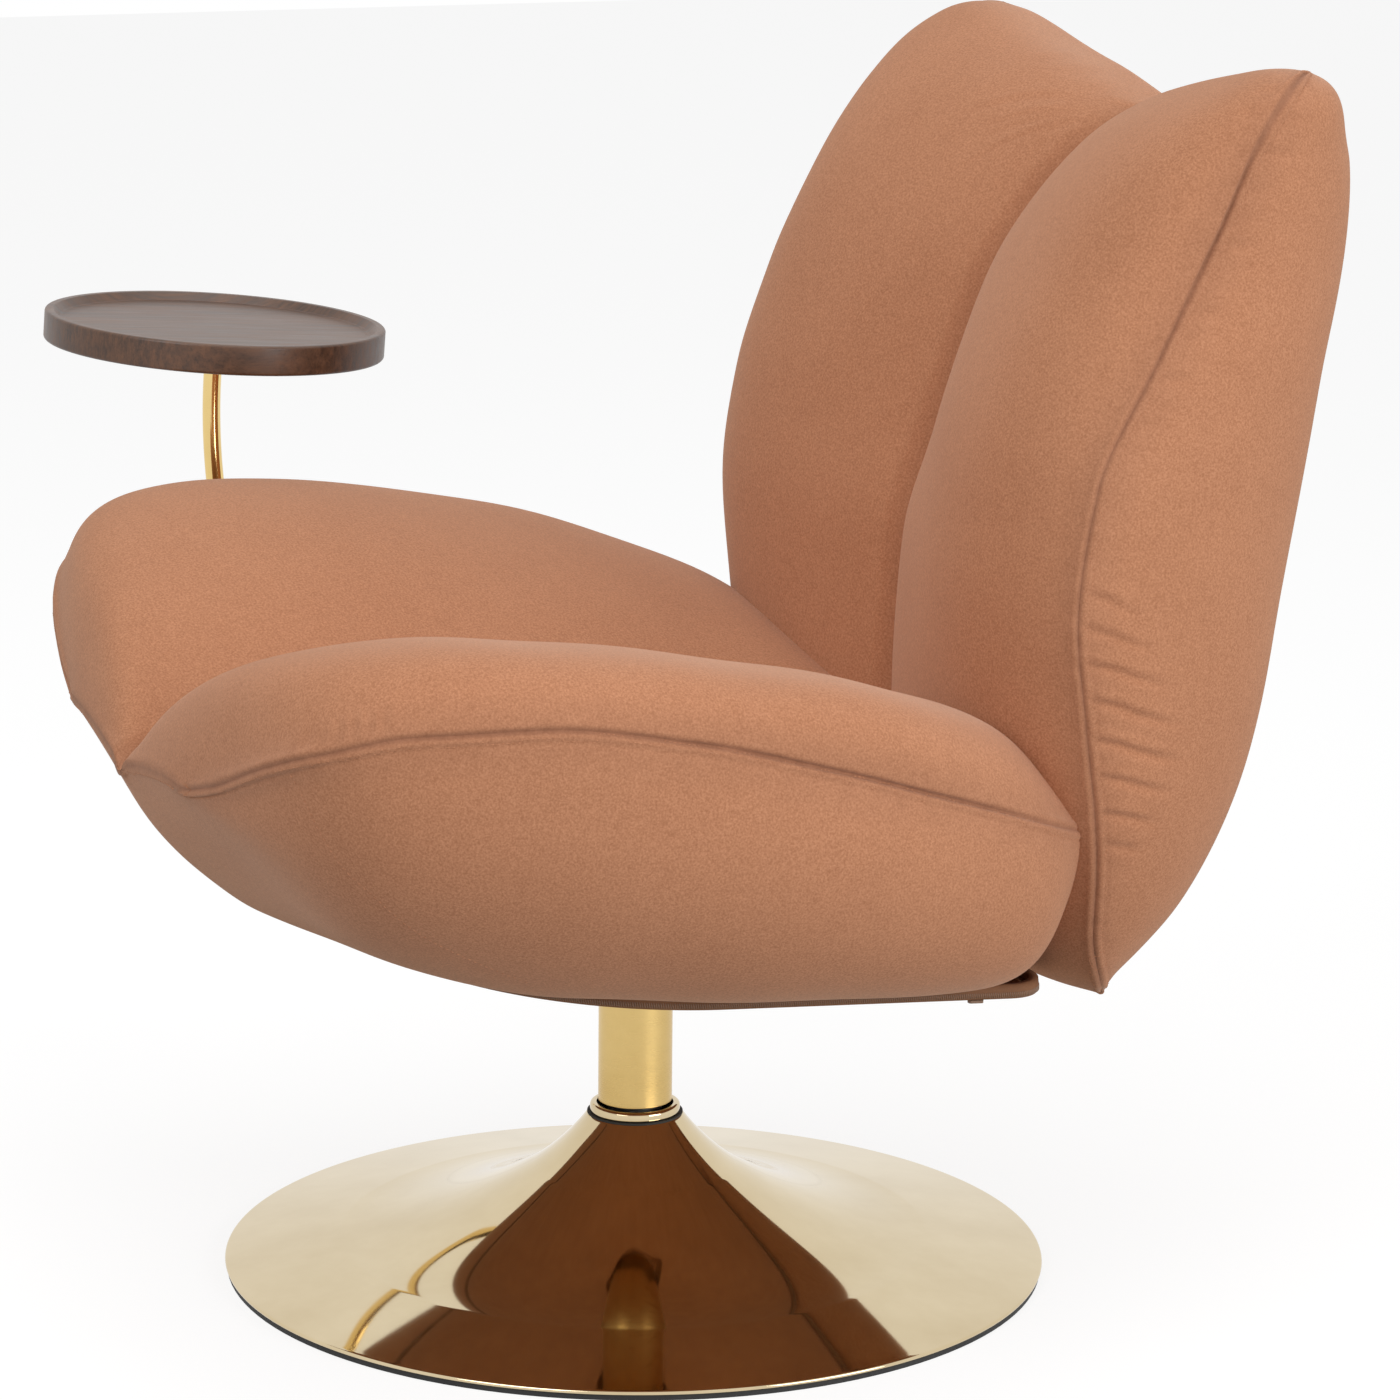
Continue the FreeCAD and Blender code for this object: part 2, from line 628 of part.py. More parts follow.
BACK_CHANNEL = curve((0, 0.566), (0.02, 0.509), (0.096, 0.464), (0.271, 0.445), (0.461, 0.466),
                     (0.571, 0.525), (0.756, 0.626), (0.842, 0.727), (0.884, 0.798), (0.91, 0.86),
                     (0.93, 0.9), (1, 0.91))
BACK_CREST = curve((0, 0.55), (0.02, 0.488), (0.096, 0.419), (0.187, 0.374), (0.309, 0.36),
                   (0.446, 0.352), (0.583, 0.376), (0.705, 0.432), (0.826, 0.525), (0.903, 0.622),
                   (0.963, 0.735), (0.986, 0.81), (1, 0.875))
BACK_CREST_PLACE = curve((0, 0.6), (0.55, 0.66), (1, 0.87))
BACK_REAR = curve((0, 0.63), (0.02, 0.658), (0.05, 0.69), (0.096, 0.742), (0.202, 0.812),
                  (0.309, 0.852), (0.416, 0.882), (0.507, 0.909), (0.674, 0.953), (0.826, 0.996),
                  (0.903, 0.988), (0.948, 0.965), (0.979, 0.948), (1, 0.935))
BACK_SIDE = curve((0, 0.08), (0.1, 0.62), (0.4, 0.995), (0.85, 0.885), (1, 0.2))


def back_section(along, grow=0.0):
    """One level cross section of the sitter's left half of the back."""
    level = along * size("back_height") + value(BACK_BOTTOM)
    deep = size("back_reach")
    inner = BACK_INNER(along) * size("back_half_width")
    reach = BACK_WIDTH(along) * size("back_half_width") + grow
    rear = BACK_REAR(along) * deep
    corners = (
        (inner, -rear),
        (inner, grow - BACK_CHANNEL(along) * deep),
        (inner + BACK_CREST_PLACE(along) * (reach - inner), grow - BACK_CREST(along) * deep),
        (reach, grow - BACK_SEAM(along) * deep),
        (inner + (reach - inner) * size("back_heel"), -rear))
    bulge = BACK_SIDE(along) * size("back_bulge")
    return lobe_wire(corners, bulge, lambda across, ahead: V(across, -ahead, level))


def block(low, high):
    return Part.makeBox(*(high[axis] - low[axis] for axis in range(3)), V(*low))


def left_half(sections):
    """The smooth solid through the sections, kept on the sitter's left of the middle."""
    solid = Part.makeLoft(sections, True, False)
    box = solid.BoundBox
    return solid.common(block((0, box.YMin, box.ZMin), (box.XMax, box.YMax, box.ZMax)))


# Straps that join the back to the seat, and the board inside the back
BACK_LEAN = math.radians(size("back_board_lean"))


def board_face_y(level):
    """Where the back board's front face lies at a level."""
    return size("back_board_foot_y") + (level - value(BACK_BOARD_LEVEL)) * math.tan(BACK_LEAN)


def strap_solid(side, gap=0.0):
    """A bent strap, or with a gap the room that it needs in the foam."""
    thick = size("bracket_thickness")
    low = size("seat_plate_height")
    inset = thick / math.cos(BACK_LEAN)
    top = low + size("bracket_upright")
    outline = [(size("bracket_front"), low), (board_face_y(low), low), (board_face_y(top), top),
               (board_face_y(top) - inset, top), (board_face_y(low + thick) - inset, low + thick),
               (size("bracket_front"), low + thick)]
    start = side * size("bracket_place") - size("bracket_width") / 2 - gap
    corners = [V(start, along, level) for along, level in outline]
    side_face = Part.Face(Part.makePolygon(corners + corners[:1]))
    if gap:
        side_face = side_face.makeOffset2D(gap, 2, False, False, False)
    return side_face.extrude(X_AXIS * (size("bracket_width") + 2 * gap))


def back_bracket(label, side):
    thick = size("bracket_thickness")
    low = size("seat_plate_height")
    strap = strap_solid(side)
    for across, along in BRACKET_BOLT_SPOTS:
        strap = strap.cut(Part.makeCylinder(size("wood_bolt_radius") + size("play"), thick,
                                            V(across, along, low)))
    for hole in back_bolt_holes():
        strap = strap.cut(hole)
    return shaped(label, strap)


BACK_NORMAL = V(0, math.cos(BACK_LEAN), -math.sin(BACK_LEAN))
BACK_UP = V(0, math.sin(BACK_LEAN), math.cos(BACK_LEAN))
BACK_FOOT = V(0, size("back_board_foot_y"), value(BACK_BOARD_LEVEL))


def back_bolt_spots():
    """Where the strap bolts meet the straps' front faces."""
    spots = []
    for side in (-1, 1):
        for up in (size("bracket_width") / 2, 5 * size("bracket_width") / 2):
            spots.append(BACK_FOOT + BACK_UP * up + X_AXIS * side * size("bracket_place")
                         - BACK_NORMAL * size("bracket_thickness"))
    return spots


def back_bolt_holes():
    depth = size("bracket_thickness") + size("wood_bolt_bite") + size("play")
    return [Part.makeCylinder(size("wood_bolt_radius") + size("play"), depth, spot, BACK_NORMAL)
            for spot in back_bolt_spots()]


def back_bolt_solids(gap=0.0):
    solids = []
    grip = size("bracket_thickness") + size("wood_bolt_bite")
    tall = size("wood_bolt_head_height") + gap
    for spot in back_bolt_spots():
        shank = Part.makeCylinder(size("wood_bolt_radius"), grip, spot, BACK_NORMAL)
        head = Part.makeCylinder(size("wood_bolt_head") + gap, tall,
                                 spot - BACK_NORMAL * tall, BACK_NORMAL)
        solids.append(shank.fuse(head).removeSplitter())
    return solids


def plank_solid(gap=0.0):
    half = size("back_board_half_width") + gap
    plank = Part.makeBox(2 * half, size("back_board_thickness") + 2 * gap,
                         size("back_board_length") + 2 * gap, V(-half, -gap, -gap))
    plank.Placement = FreeCAD.Placement(
        BACK_FOOT, FreeCAD.Rotation(X_AXIS, -size("back_board_lean")))
    return plank


back_bracket("back_bracket_left", 1)
back_bracket("back_bracket_right", -1)
shaped("back_board", plank_solid().cut(Part.makeCompound(back_bolt_holes())))
shaped("back_board_bolts", Part.makeCompound(back_bolt_solids()))
bolt_group("bracket_bolts", BRACKET_BOLT_SPOTS, size("seat_plate_height"),
           size("wood_bolt_radius"), size("bracket_thickness") + size("wood_bolt_bite"),
           size("wood_bolt_head"), size("wood_bolt_head_height"))


# Cushions: two lobes for the seat and two for the back, hollowed round the boards
SEAT_LEAN = FreeCAD.Rotation(X_AXIS, -size("seat_tilt"))
UNDERSIDE = FreeCAD.Placement(V(0, 0, value(SEAT_FOOT)), SEAT_LEAN)
COVER_FACE = FreeCAD.Placement(V(0, 0, value(SEAT_FOOT) - size("play")), SEAT_LEAN)


def back_cushions():
    left = left_half([back_section(along) for along in BACK_STATIONS])
    gap = size("play")
    rooms = [plank_solid(gap), strap_solid(1, gap), strap_solid(-1, gap)]
    rooms += back_bolt_solids(gap)
    for label, half in (("back_cushion_left", left),
                        ("back_cushion_right", left.mirror(V(0, 0, 0), X_AXIS))):
        for room in rooms:
            if room.BoundBox.intersect(half.BoundBox):
                half = half.cut(room)
        shaped(label, max(half.Solids, key=lambda solid: solid.Volume))


def seat_cushions():
    left = left_half([seat_section(along) for along in SEAT_STATIONS])
    left = left.cut(left_half([back_section(along, size("soft_gap"))
                               for along in BACK_STATIONS]))
    box = left.BoundBox
    above = block((0, 2 * box.YMin, 0), (2 * box.XMax, 2 * box.YMax, 2 * box.ZLength))
    above.Placement = UNDERSIDE
    left = left.common(above)
    play = size("play")
    wide = size("board_half_width") + play
    low = box.ZMin - size("cover_thickness")
    cavity = block((-wide, -size("board_front") - play, low),
                   (wide, size("board_rear") + play, value(BOARD_TOP)))
    edges = [edge for edge in cavity.Edges
             if abs(edge.tangentAt(edge.FirstParameter).z) > 0.9]
    cavity = cavity.makeFillet(size("board_corner") - play, edges)
    rooms = [cavity]
    for side in (-1, 1):
        start = side * size("bracket_place") - size("bracket_width") / 2
        rooms.append(block((start - play, 0, low),
                           (start + size("bracket_width") + play, 2 * size("seat_rear"),
                            value(BOARD_FOOT) + play)))
    for label, half in (("seat_cushion_left", left),
                        ("seat_cushion_right", left.mirror(V(0, 0, 0), X_AXIS))):
        for room in rooms:
            half = half.cut(room)
        shaped(label, max(half.Solids, key=lambda solid: solid.Volume))


back_cushions()
seat_cushions()


# Cover cloth that bellies a little under the seat, with the zip that closes it
def cover_slab(grow, deep):
    """A slab of the cover's plan, drawn out by grow, that hangs from the underside."""
    wide, front, rear = (size(alias) + grow for alias in
                         ("cover_half_width", "cover_front", "cover_rear"))
    slab = block((-wide, -front, -deep), (wide, rear, 0))
    for alias, ahead in (("cover_front_corner", True), ("cover_rear_corner", False)):
        edges = [edge for edge in slab.Edges
                 if abs(edge.tangentAt(edge.FirstParameter).z) > 0.9
                 and (edge.CenterOfMass.y < 0) == ahead]
        slab = slab.makeFillet(size(alias) + grow, edges)
    return slab


def seat_bottom_cover():
    deep = size("cover_depth")
    belly = cover_slab(0, deep)
    hollow = cover_slab(-size("cover_hem"), deep - size("cover_thickness"))
    cloth = belly.cut(hollow)
    gap = size("soft_gap")
    for radius, spot in ((size("sleeve_radius"), V(0, 0, -deep)),
                         (size("socket_radius"), V(*PIVOT, -deep))):
        cloth = cloth.cut(Part.makeCylinder(radius + gap, deep, spot))
    return shaped("seat_bottom_cover", cloth, COVER_FACE.Base, COVER_FACE.Rotation)


def seat_zip():
    gap = size("play")
    thick = size("zip_thickness")
    tape = cover_slab(gap + size("zip_width"), thick).cut(cover_slab(gap, thick))
    return shaped("seat_zip", tape, COVER_FACE.Base, COVER_FACE.Rotation)


def seat_zip_slider():
    wide = size("slider_width")
    side = size("cover_half_width") + size("play") + (size("zip_width") - wide) / 2
    ahead = size("slider_place")
    top = -size("zip_thickness")
    body = block((side, ahead, top - size("slider_thickness")),
                 (side + wide, ahead + size("slider_length"), top))
    uprights = [edge for edge in body.Edges if abs(edge.tangentAt(edge.FirstParameter).z) > 0.9]
    body = body.makeFillet(wide / 3, uprights)
    return shaped("seat_zip_slider", body, COVER_FACE.Base, COVER_FACE.Rotation)


seat_bottom_cover()
seat_zip()
seat_zip_slider()

# Tray arm: a bent brass tube on a pivot under the seat's right side
HEADING = math.radians(size("arm_heading"))
INWARD = V(math.cos(HEADING), math.sin(HEADING), 0)
PIVOT_AXIS_FOOT = V(*PIVOT, 0)
HUB_FOOT = value(ARM_LEVEL) - size("pivot_hub_height") / 2
HUB_TOP = HUB_FOOT + size("pivot_hub_height")
SOCKET_FOOT = HUB_TOP + size("play")
ARM_STEEP = math.radians(size("arm_slope"))
TOP_LEAN = math.radians(size("arm_top_lean"))
ARM_ROLL = math.radians(size("arm_roll"))
ARM_SIDEWAYS = V(-math.sin(HEADING), math.cos(HEADING), 0)
ARM_UP = Z_AXIS * math.cos(ARM_ROLL) + ARM_SIDEWAYS * math.sin(ARM_ROLL)
ARM_TIP_UP = INWARD * math.sin(TOP_LEAN) + ARM_UP * math.cos(TOP_LEAN)


def arm_path():
    """The tube's centre line in the arm's own plane, from hub to tray."""
    base = PIVOT_AXIS_FOOT + Z_AXIS * value(ARM_LEVEL)

    def spot(inward, rise):
        return base - INWARD * (size("arm_reach") - inward) + ARM_UP * rise

    def on_arc(radius, angle, centre_inward, centre_rise):
        return spot(centre_inward - radius * math.cos(angle),
                    centre_rise - radius * math.sin(angle))

    lower = size("arm_lower_bend")
    upper = size("arm_upper_bend")
    rise_low = lower * (1 - math.sin(ARM_STEEP))
    run_low = lower * math.cos(ARM_STEEP)
    rise_mid = rise_low + size("arm_straight") * math.cos(ARM_STEEP)
    run_mid = size("arm_straight") * math.sin(ARM_STEEP)
    rise_top = rise_mid + upper * (math.sin(ARM_STEEP) + math.sin(TOP_LEAN))
    run_high = upper * (math.cos(TOP_LEAN) - math.cos(ARM_STEEP))
    level_end = spot(run_high + run_mid + run_low, 0)
    low_top = spot(run_high + run_mid, rise_low)
    high_foot = spot(run_high, rise_mid)
    bend_top = spot(0, rise_top)
    tip = bend_top + ARM_TIP_UP * size("tray_foot_boss_height")
    low_middle = on_arc(lower, (ARM_STEEP + math.pi / 2) / 2, run_high + run_mid + run_low,
                        lower)
    high_middle = on_arc(upper, (ARM_STEEP - TOP_LEAN) / 2, upper * math.cos(TOP_LEAN),
                         rise_top - upper * math.sin(TOP_LEAN))
    start = base - INWARD * size("pivot_hub_radius")
    edges = [Part.makeLine(start, level_end),
             Part.Arc(level_end, low_middle, low_top).toShape(),
             Part.makeLine(low_top, high_foot),
             Part.Arc(high_foot, high_middle, bend_top).toShape(),
             Part.makeLine(bend_top, tip)]
    return Part.Wire(edges), start, tip


ARM_WIRE, ARM_START, ARM_TIP = arm_path()


def swept(radius):
    ring_line = Part.Wire([Part.makeCircle(radius, ARM_START, INWARD)])
    return ARM_WIRE.makePipeShell([ring_line], True, True)


def tray_tube():
    outer = swept(size("tube_radius"))
    inner = swept(size("tube_radius") - size("tube_wall"))
    return shaped("tray_tube", outer.cut(inner))


def arm_pivot():
    hub = Part.makeCylinder(size("pivot_hub_radius"), size("pivot_hub_height"),
                            PIVOT_AXIS_FOOT + Z_AXIS * HUB_FOOT)
    pin_top = value(BOARD_FOOT) + size("pivot_pin_rise")
    pin = Part.makeCylinder(size("pivot_pin_radius"), pin_top - HUB_TOP,
                            PIVOT_AXIS_FOOT + Z_AXIS * HUB_TOP)
    seat_of_tube = Part.makeCylinder(size("tube_radius"), 2 * size("pivot_hub_radius"),
                                     ARM_START, INWARD * -1)
    return shaped("arm_pivot", hub.fuse(pin).removeSplitter().cut(seat_of_tube))


def arm_clip():
    foot = value(BOARD_FOOT) + size("play")
    inner = size("pivot_pin_radius") + size("running_gap")
    ring_shape = Part.makeCylinder(size("clip_radius"), size("clip_thickness")).cut(
        Part.makeCylinder(inner, size("clip_thickness")))
    return shaped("arm_clip", ring_shape, PIVOT_AXIS_FOOT + Z_AXIS * foot)


def arm_socket():
    flange = Part.makeCylinder(size("socket_flange_radius"), size("socket_flange_thickness"),
                               V(0, 0, value(BOARD_FOOT) - size("socket_flange_thickness")))
    boss = Part.makeCylinder(size("socket_radius"),
                             value(BOARD_FOOT) - SOCKET_FOOT, V(0, 0, SOCKET_FOOT))
    bore = Part.makeCylinder(size("pivot_pin_radius") + size("arm_bush_wall"),
                             value(BOARD_FOOT))
    solid = flange.fuse(boss).removeSplitter().cut(bore)
    for across, along in on_circle(4, size("socket_screw_circle"), math.pi / 4):
        solid = solid.cut(Part.makeCylinder(size("socket_screw_radius") + size("play"),
                                            value(BOARD_FOOT), V(across, along, 0)))
    return shaped("arm_socket", solid, PIVOT_AXIS_FOOT)


def arm_bush():
    inner = size("pivot_pin_radius") + size("running_gap")
    outer = size("pivot_pin_radius") + size("arm_bush_wall") - size("running_gap")
    long = value(BOARD_FOOT) - SOCKET_FOOT
    sleeve = Part.makeCylinder(outer, long).cut(Part.makeCylinder(inner, long))
    return shaped("arm_bush", sleeve, PIVOT_AXIS_FOOT + Z_AXIS * SOCKET_FOOT)


tray_tube()
arm_pivot()
arm_clip()
arm_socket()
arm_bush()
bolt_group("arm_socket_screws", SOCKET_SCREW_SPOTS,
           value(BOARD_FOOT) - size("socket_flange_thickness"), size("socket_screw_radius"),
           size("socket_flange_thickness") + size("wood_bolt_bite"), size("socket_screw_head"),
           size("socket_screw_head_height"))

# Tray: a turned walnut disc with a raised rim on a brass foot
TRAY_TURN = FreeCAD.Rotation(Z_AXIS, ARM_TIP_UP)
TRAY_SCREW_SPOTS = on_circle(4, size("tray_screw_circle"), HEADING)


def tray_foot():
    """The foot's own origin is the tube's tip, inside the boss."""
    deep = size("tray_foot_boss_height")
    disc = Part.makeCylinder(size("tray_foot_radius"), size("tray_foot_thickness"))
    boss = Part.makeCylinder(size("tray_foot_boss"), deep, V(0, 0, -deep))
    bore = Part.makeCylinder(size("tube_radius") + size("running_gap"), deep, V(0, 0, -deep))
    foot = disc.fuse(boss).removeSplitter().cut(bore)
    for across, along in TRAY_SCREW_SPOTS:
        foot = foot.cut(Part.makeCylinder(size("tray_screw_radius") + size("play"),
                                          size("tray_foot_thickness"), V(across, along, 0)))
    return shaped("tray_foot", foot, ARM_TIP, TRAY_TURN)


def tray_disc():
    radius = size("tray_radius")
    thick = size("tray_thickness")
    edge = size("tray_edge")
    floor = thick - size("tray_recess")
    rim_inner = radius - size("tray_rim")
    outline = [V(0, 0, 0), V(radius - edge, 0, 0), V(radius, 0, edge), V(radius, 0, thick - edge),
               V(radius - edge, 0, thick), V(rim_inner, 0, thick),
               V(rim_inner - size("tray_rim_slope"), 0, floor), V(0, 0, floor)]
    disc = Part.Face(Part.makePolygon(outline + outline[:1])).revolve(V(0, 0, 0), Z_AXIS, 360)
    bite = size("tray_screw_length") - size("tray_foot_thickness") + size("play")
    for across, along in TRAY_SCREW_SPOTS:
        disc = disc.cut(Part.makeCylinder(size("tray_screw_radius") + size("play"), bite,
                                          V(across, along, 0)))
    return shaped("tray_disc", disc, ARM_TIP + ARM_TIP_UP * size("tray_foot_thickness"),
                  TRAY_TURN)


def tray_screws():
    screws = []
    for across, along in TRAY_SCREW_SPOTS:
        one = bolt(size("tray_screw_radius"), size("tray_screw_length"),
                   size("tray_screw_head"), size("tray_screw_head_height"))
        one.translate(V(across, along, 0))
        screws.append(one)
    return shaped("tray_screws", Part.makeCompound(screws), ARM_TIP, TRAY_TURN)


tray_foot()
tray_disc()
tray_screws()

# Check every part, then write one file per node
doc.recompute()
os.makedirs("parts", exist_ok=True)
for item in doc.Objects:
    if "Invalid" in item.State or "Error" in item.State:
        raise RuntimeError(f"{item.Label} did not build: {item.State}")
NODES = [item for item in doc.Objects if item.TypeId in ("PartDesign::Body", "Part::Feature")]
for node in NODES:
    if node.Shape.isNull() or not node.Shape.isValid():
        raise RuntimeError(f"{node.Label} has no valid shape")
for node in NODES:
    node.Shape.exportStep(f"parts/{node.Label}.step")
    print(f"{node.Label}: {len(node.Shape.Solids)} solids, {node.Shape.Volume / 1000:.1f} cm3, "
          f"{len(node.Shape.Faces)} faces")
print(f"{len(NODES)} nodes")
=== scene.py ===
import json
import math

import bpy
import numpy as np
from mathutils import Matrix, Vector, kdtree
from mathutils.bvhtree import BVHTree


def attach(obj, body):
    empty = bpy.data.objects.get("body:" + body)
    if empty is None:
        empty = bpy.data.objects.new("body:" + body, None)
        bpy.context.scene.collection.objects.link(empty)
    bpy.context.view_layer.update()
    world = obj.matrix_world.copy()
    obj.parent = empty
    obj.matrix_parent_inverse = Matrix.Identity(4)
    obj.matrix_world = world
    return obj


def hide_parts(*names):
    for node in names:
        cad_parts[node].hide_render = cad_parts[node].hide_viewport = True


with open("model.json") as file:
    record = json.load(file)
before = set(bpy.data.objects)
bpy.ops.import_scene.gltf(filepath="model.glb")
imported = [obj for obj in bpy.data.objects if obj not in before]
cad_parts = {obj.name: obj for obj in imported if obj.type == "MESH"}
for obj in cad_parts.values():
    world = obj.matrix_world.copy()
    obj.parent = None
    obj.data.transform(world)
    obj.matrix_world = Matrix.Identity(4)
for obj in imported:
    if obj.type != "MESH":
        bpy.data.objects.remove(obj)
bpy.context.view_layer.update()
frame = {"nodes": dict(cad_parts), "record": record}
SEED = 4

# Camera
lens = bpy.data.cameras.new("camera")
lens.sensor_width = 36
lens.lens = 135
lens.clip_end = 100
lens.shift_x = -0.00172
lens.shift_y = 0.00038
camera = bpy.data.objects.new("camera", lens)
camera.location = (3.44291, -1.28725, 1.27467)
camera.rotation_euler = [math.radians(turn) for turn in (76.9237, -0.5605, 68.9071)]
bpy.context.scene.collection.objects.link(camera)
bpy.context.scene.camera = camera


# Helpers for meshes and lines
def add_mesh(name, points, faces, smooth=True):
    mesh = bpy.data.meshes.new(name)
    mesh.from_pydata([tuple(point) for point in points], [], faces)
    mesh.update()
    if smooth:
        mesh.polygons.foreach_set("use_smooth", [True] * len(mesh.polygons))
    piece = bpy.data.objects.new(name, mesh)
    bpy.context.scene.collection.objects.link(piece)
    return piece


def quads(rows, count, ring=True, loop=False):
    """Faces between rows of points; ring closes each row and loop joins last to first."""
    faces = []
    for row in range(rows if loop else rows - 1):
        low, high = row * count, (row + 1) % rows * count
        for step in range(count if ring else count - 1):
            after = (step + 1) % count
            faces.append((low + step, low + after, high + after, high + step))
    return faces


def flipped(faces):
    """The same faces, turned to the other side."""
    return [(first, *rest[::-1]) for first, *rest in faces]


def ring_rows(name, rows, loop=False):
    """A mesh from closed rings of spots that all have the same count."""
    return add_mesh(name, np.vstack(rows), quads(len(rows), len(rows[0]), loop=loop))


def turned(name, outline, steps):
    """A form spun about Z from an outline of radius and height."""
    turn = np.linspace(0, 2 * math.pi, steps, endpoint=False)
    points = [(radius * math.cos(angle), radius * math.sin(angle), level)
              for angle in turn for radius, level in outline]
    faces = quads(steps, len(outline), ring=False, loop=True)
    return add_mesh(name, points, flipped(faces))


def way_along(line):
    """The length of a line up to each of its spots."""
    steps = np.linalg.norm(np.diff(line, axis=0), axis=1)
    return np.concatenate([[0], np.cumsum(steps)])


def spots_at(line, marks):
    """The spots of a line at marks of its length."""
    way = way_along(line)
    return np.stack([np.interp(marks, way, places) for places in np.asarray(line).T], axis=1)


def dense(line, step=0.0012):
    """A line with its spots no more than a step apart."""
    length = way_along(line)[-1]
    return spots_at(line, np.linspace(0, length, int(length / step) + 2))


def even(line, pitch):
    """Spots a pitch apart along a line."""
    return spots_at(line, np.arange(pitch / 2, way_along(line)[-1], pitch))


def curve(*spots):
    """A smooth line through given spots that never overshoots them."""
    places, shares = zip(*spots)
    slopes = [(shares[index + 1] - shares[index]) / (places[index + 1] - places[index])
              for index in range(len(spots) - 1)]

    def slope_at(index):
        if index == 0:
            return slopes[0]
        if index == len(slopes):
            return slopes[-1]
        before, after = slopes[index - 1], slopes[index]
        return 0.0 if before * after <= 0 else 2 * before * after / (before + after)

    def share(along):
        index = 0
        while index < len(slopes) - 1 and along > places[index + 1]:
            index += 1
        span = places[index + 1] - places[index]
        step = min(max((along - places[index]) / span, 0.0), 1.0)
        start, end = slope_at(index) * span, slope_at(index + 1) * span
        return ((2 * step ** 3 - 3 * step ** 2 + 1) * shares[index]
                + (step ** 3 - 2 * step ** 2 + step) * start
                + (3 * step ** 2 - 2 * step ** 3) * shares[index + 1]
                + (step ** 3 - step ** 2) * end)

    return share


def arc(start, middle, end, count=40):
    """Points on the circle through three points of a plane."""
    (ax, ay), (bx, by), (cx, cy) = start, middle, end
    cross = 2 * (ax * (by - cy) + bx * (cy - ay) + cx * (ay - by))
    steps = np.linspace(0, 1, count)[:, None]
    if abs(cross) < 1e-6:
        return np.array(start) * (1 - steps) + np.array(end) * steps
    a2, b2, c2 = ax * ax + ay * ay, bx * bx + by * by, cx * cx + cy * cy
    middle_x = (a2 * (by - cy) + b2 * (cy - ay) + c2 * (ay - by)) / cross
    middle_y = (a2 * (cx - bx) + b2 * (ax - cx) + c2 * (bx - ax)) / cross
    radius = math.hypot(ax - middle_x, ay - middle_y)
    way = 1 if (bx - ax) * (cy - by) - (by - ay) * (cx - bx) > 0 else -1
    first = math.atan2(ay - middle_y, ax - middle_x)
    turn = (math.atan2(cy - middle_y, cx - middle_x) - first) * way % (2 * math.pi) * way
    angles = first + turn * steps
    return np.hstack([middle_x + radius * np.cos(angles), middle_y + radius * np.sin(angles)])


def level_arc_middle(start, crest):
    """The half-way spot of the arc that leaves start and is level at its crest."""
    rise = crest[1] - start[1]
    run = crest[0] - start[0]
    radius = (run * run + rise * rise) / (2 * rise)
    half_turn = math.atan2(abs(rise), abs(run))
    return (crest[0] - math.copysign(abs(radius) * math.sin(half_turn), run),
            crest[1] - radius + radius * math.cos(half_turn))


def bulged_middle(start, end, bulge):
    """The spot half way between two others, set aside by a bulge."""
    run, rise = end[0] - start[0], end[1] - start[1]
    length = math.hypot(run, rise)
    return ((start[0] + end[0]) / 2 - rise / length * bulge,
            (start[1] + end[1]) / 2 + run / length * bulge)


# Seat form: each curve gives a share of a size at a share of the way along
SEAT_WIDTH = curve((0, 0.42), (0.01, 0.56), (0.03, 0.735), (0.063, 0.855), (0.13, 0.928),
                   (0.23, 0.977), (0.38, 1.007), (0.58, 1.003), (0.73, 0.98), (0.85, 0.933),
                   (0.93, 0.87), (1, 0.77))
SEAT_SEAM = curve((0, 0.67), (0.03, 0.845), (0.063, 0.915), (0.163, 0.982), (0.297, 0.993),
                  (0.463, 0.927), (0.63, 0.812), (0.747, 0.714), (0.863, 0.61), (1, 0.47))
SEAT_CREST = curve((0, 0.6), (0.007, 0.73), (0.022, 0.82), (0.047, 0.892), (0.08, 0.942),
                   (0.147, 0.982), (0.23, 0.993), (0.347, 0.977), (0.463, 0.942), (0.58, 0.893),
                   (0.697, 0.833), (0.813, 0.745), (0.905, 0.655), (0.955, 0.56), (1, 0.49))
SEAT_CREST_PLACE = curve((0, 0.68), (0.03, 0.76), (0.13, 0.85), (0.71, 0.9), (1, 0.75))
SEAT_CHANNEL = curve((0, 1.08), (0.13, 1.01), (0.63, 0.97), (0.88, 0.985), (1, 0.93))
SEAT_INNER_FOOT = curve((0, 0.875), (0.008, 0.72), (0.03, 0.585), (0.063, 0.405), (0.097, 0.28),
                        (0.163, 0.06), (0.23, 0.01), (0.33, 0), (0.9, 0), (0.95, 0.1), (1, 0.33))
SEAT_OUTER_FOOT = curve((0, 1), (0.03, 0.95), (0.063, 0.79), (0.13, 0.43), (0.23, 0.19),
                        (0.31, 0.09), (0.39, 0.05), (0.88, 0.05), (0.95, 0.14), (1, 0.39))
SEAT_FOOT_WIDTH = curve((0, 0.48), (0.03, 0.75), (0.063, 0.822), (0.13, 0.864), (0.23, 0.88),
                        (0.38, 0.925), (0.6, 0.982), (0.8, 0.98), (0.92, 0.95), (1, 0.8))
SEAT_SIDE = curve((0, 0.05), (0.063, 0.41), (0.163, 0.73), (0.33, 0.89), (0.63, 1.02),
                  (0.83, 0.85), (0.93, 0.65), (1, 0.25))
SEAT_FRONT, SEAT_REAR, SEAT_HALF_WIDTH = 0.378, 0.222, 0.374
SEAT_LEVEL, SEAT_FOOT_LEVEL, SEAT_TILT = 0.266, 0.265, math.radians(3.4)
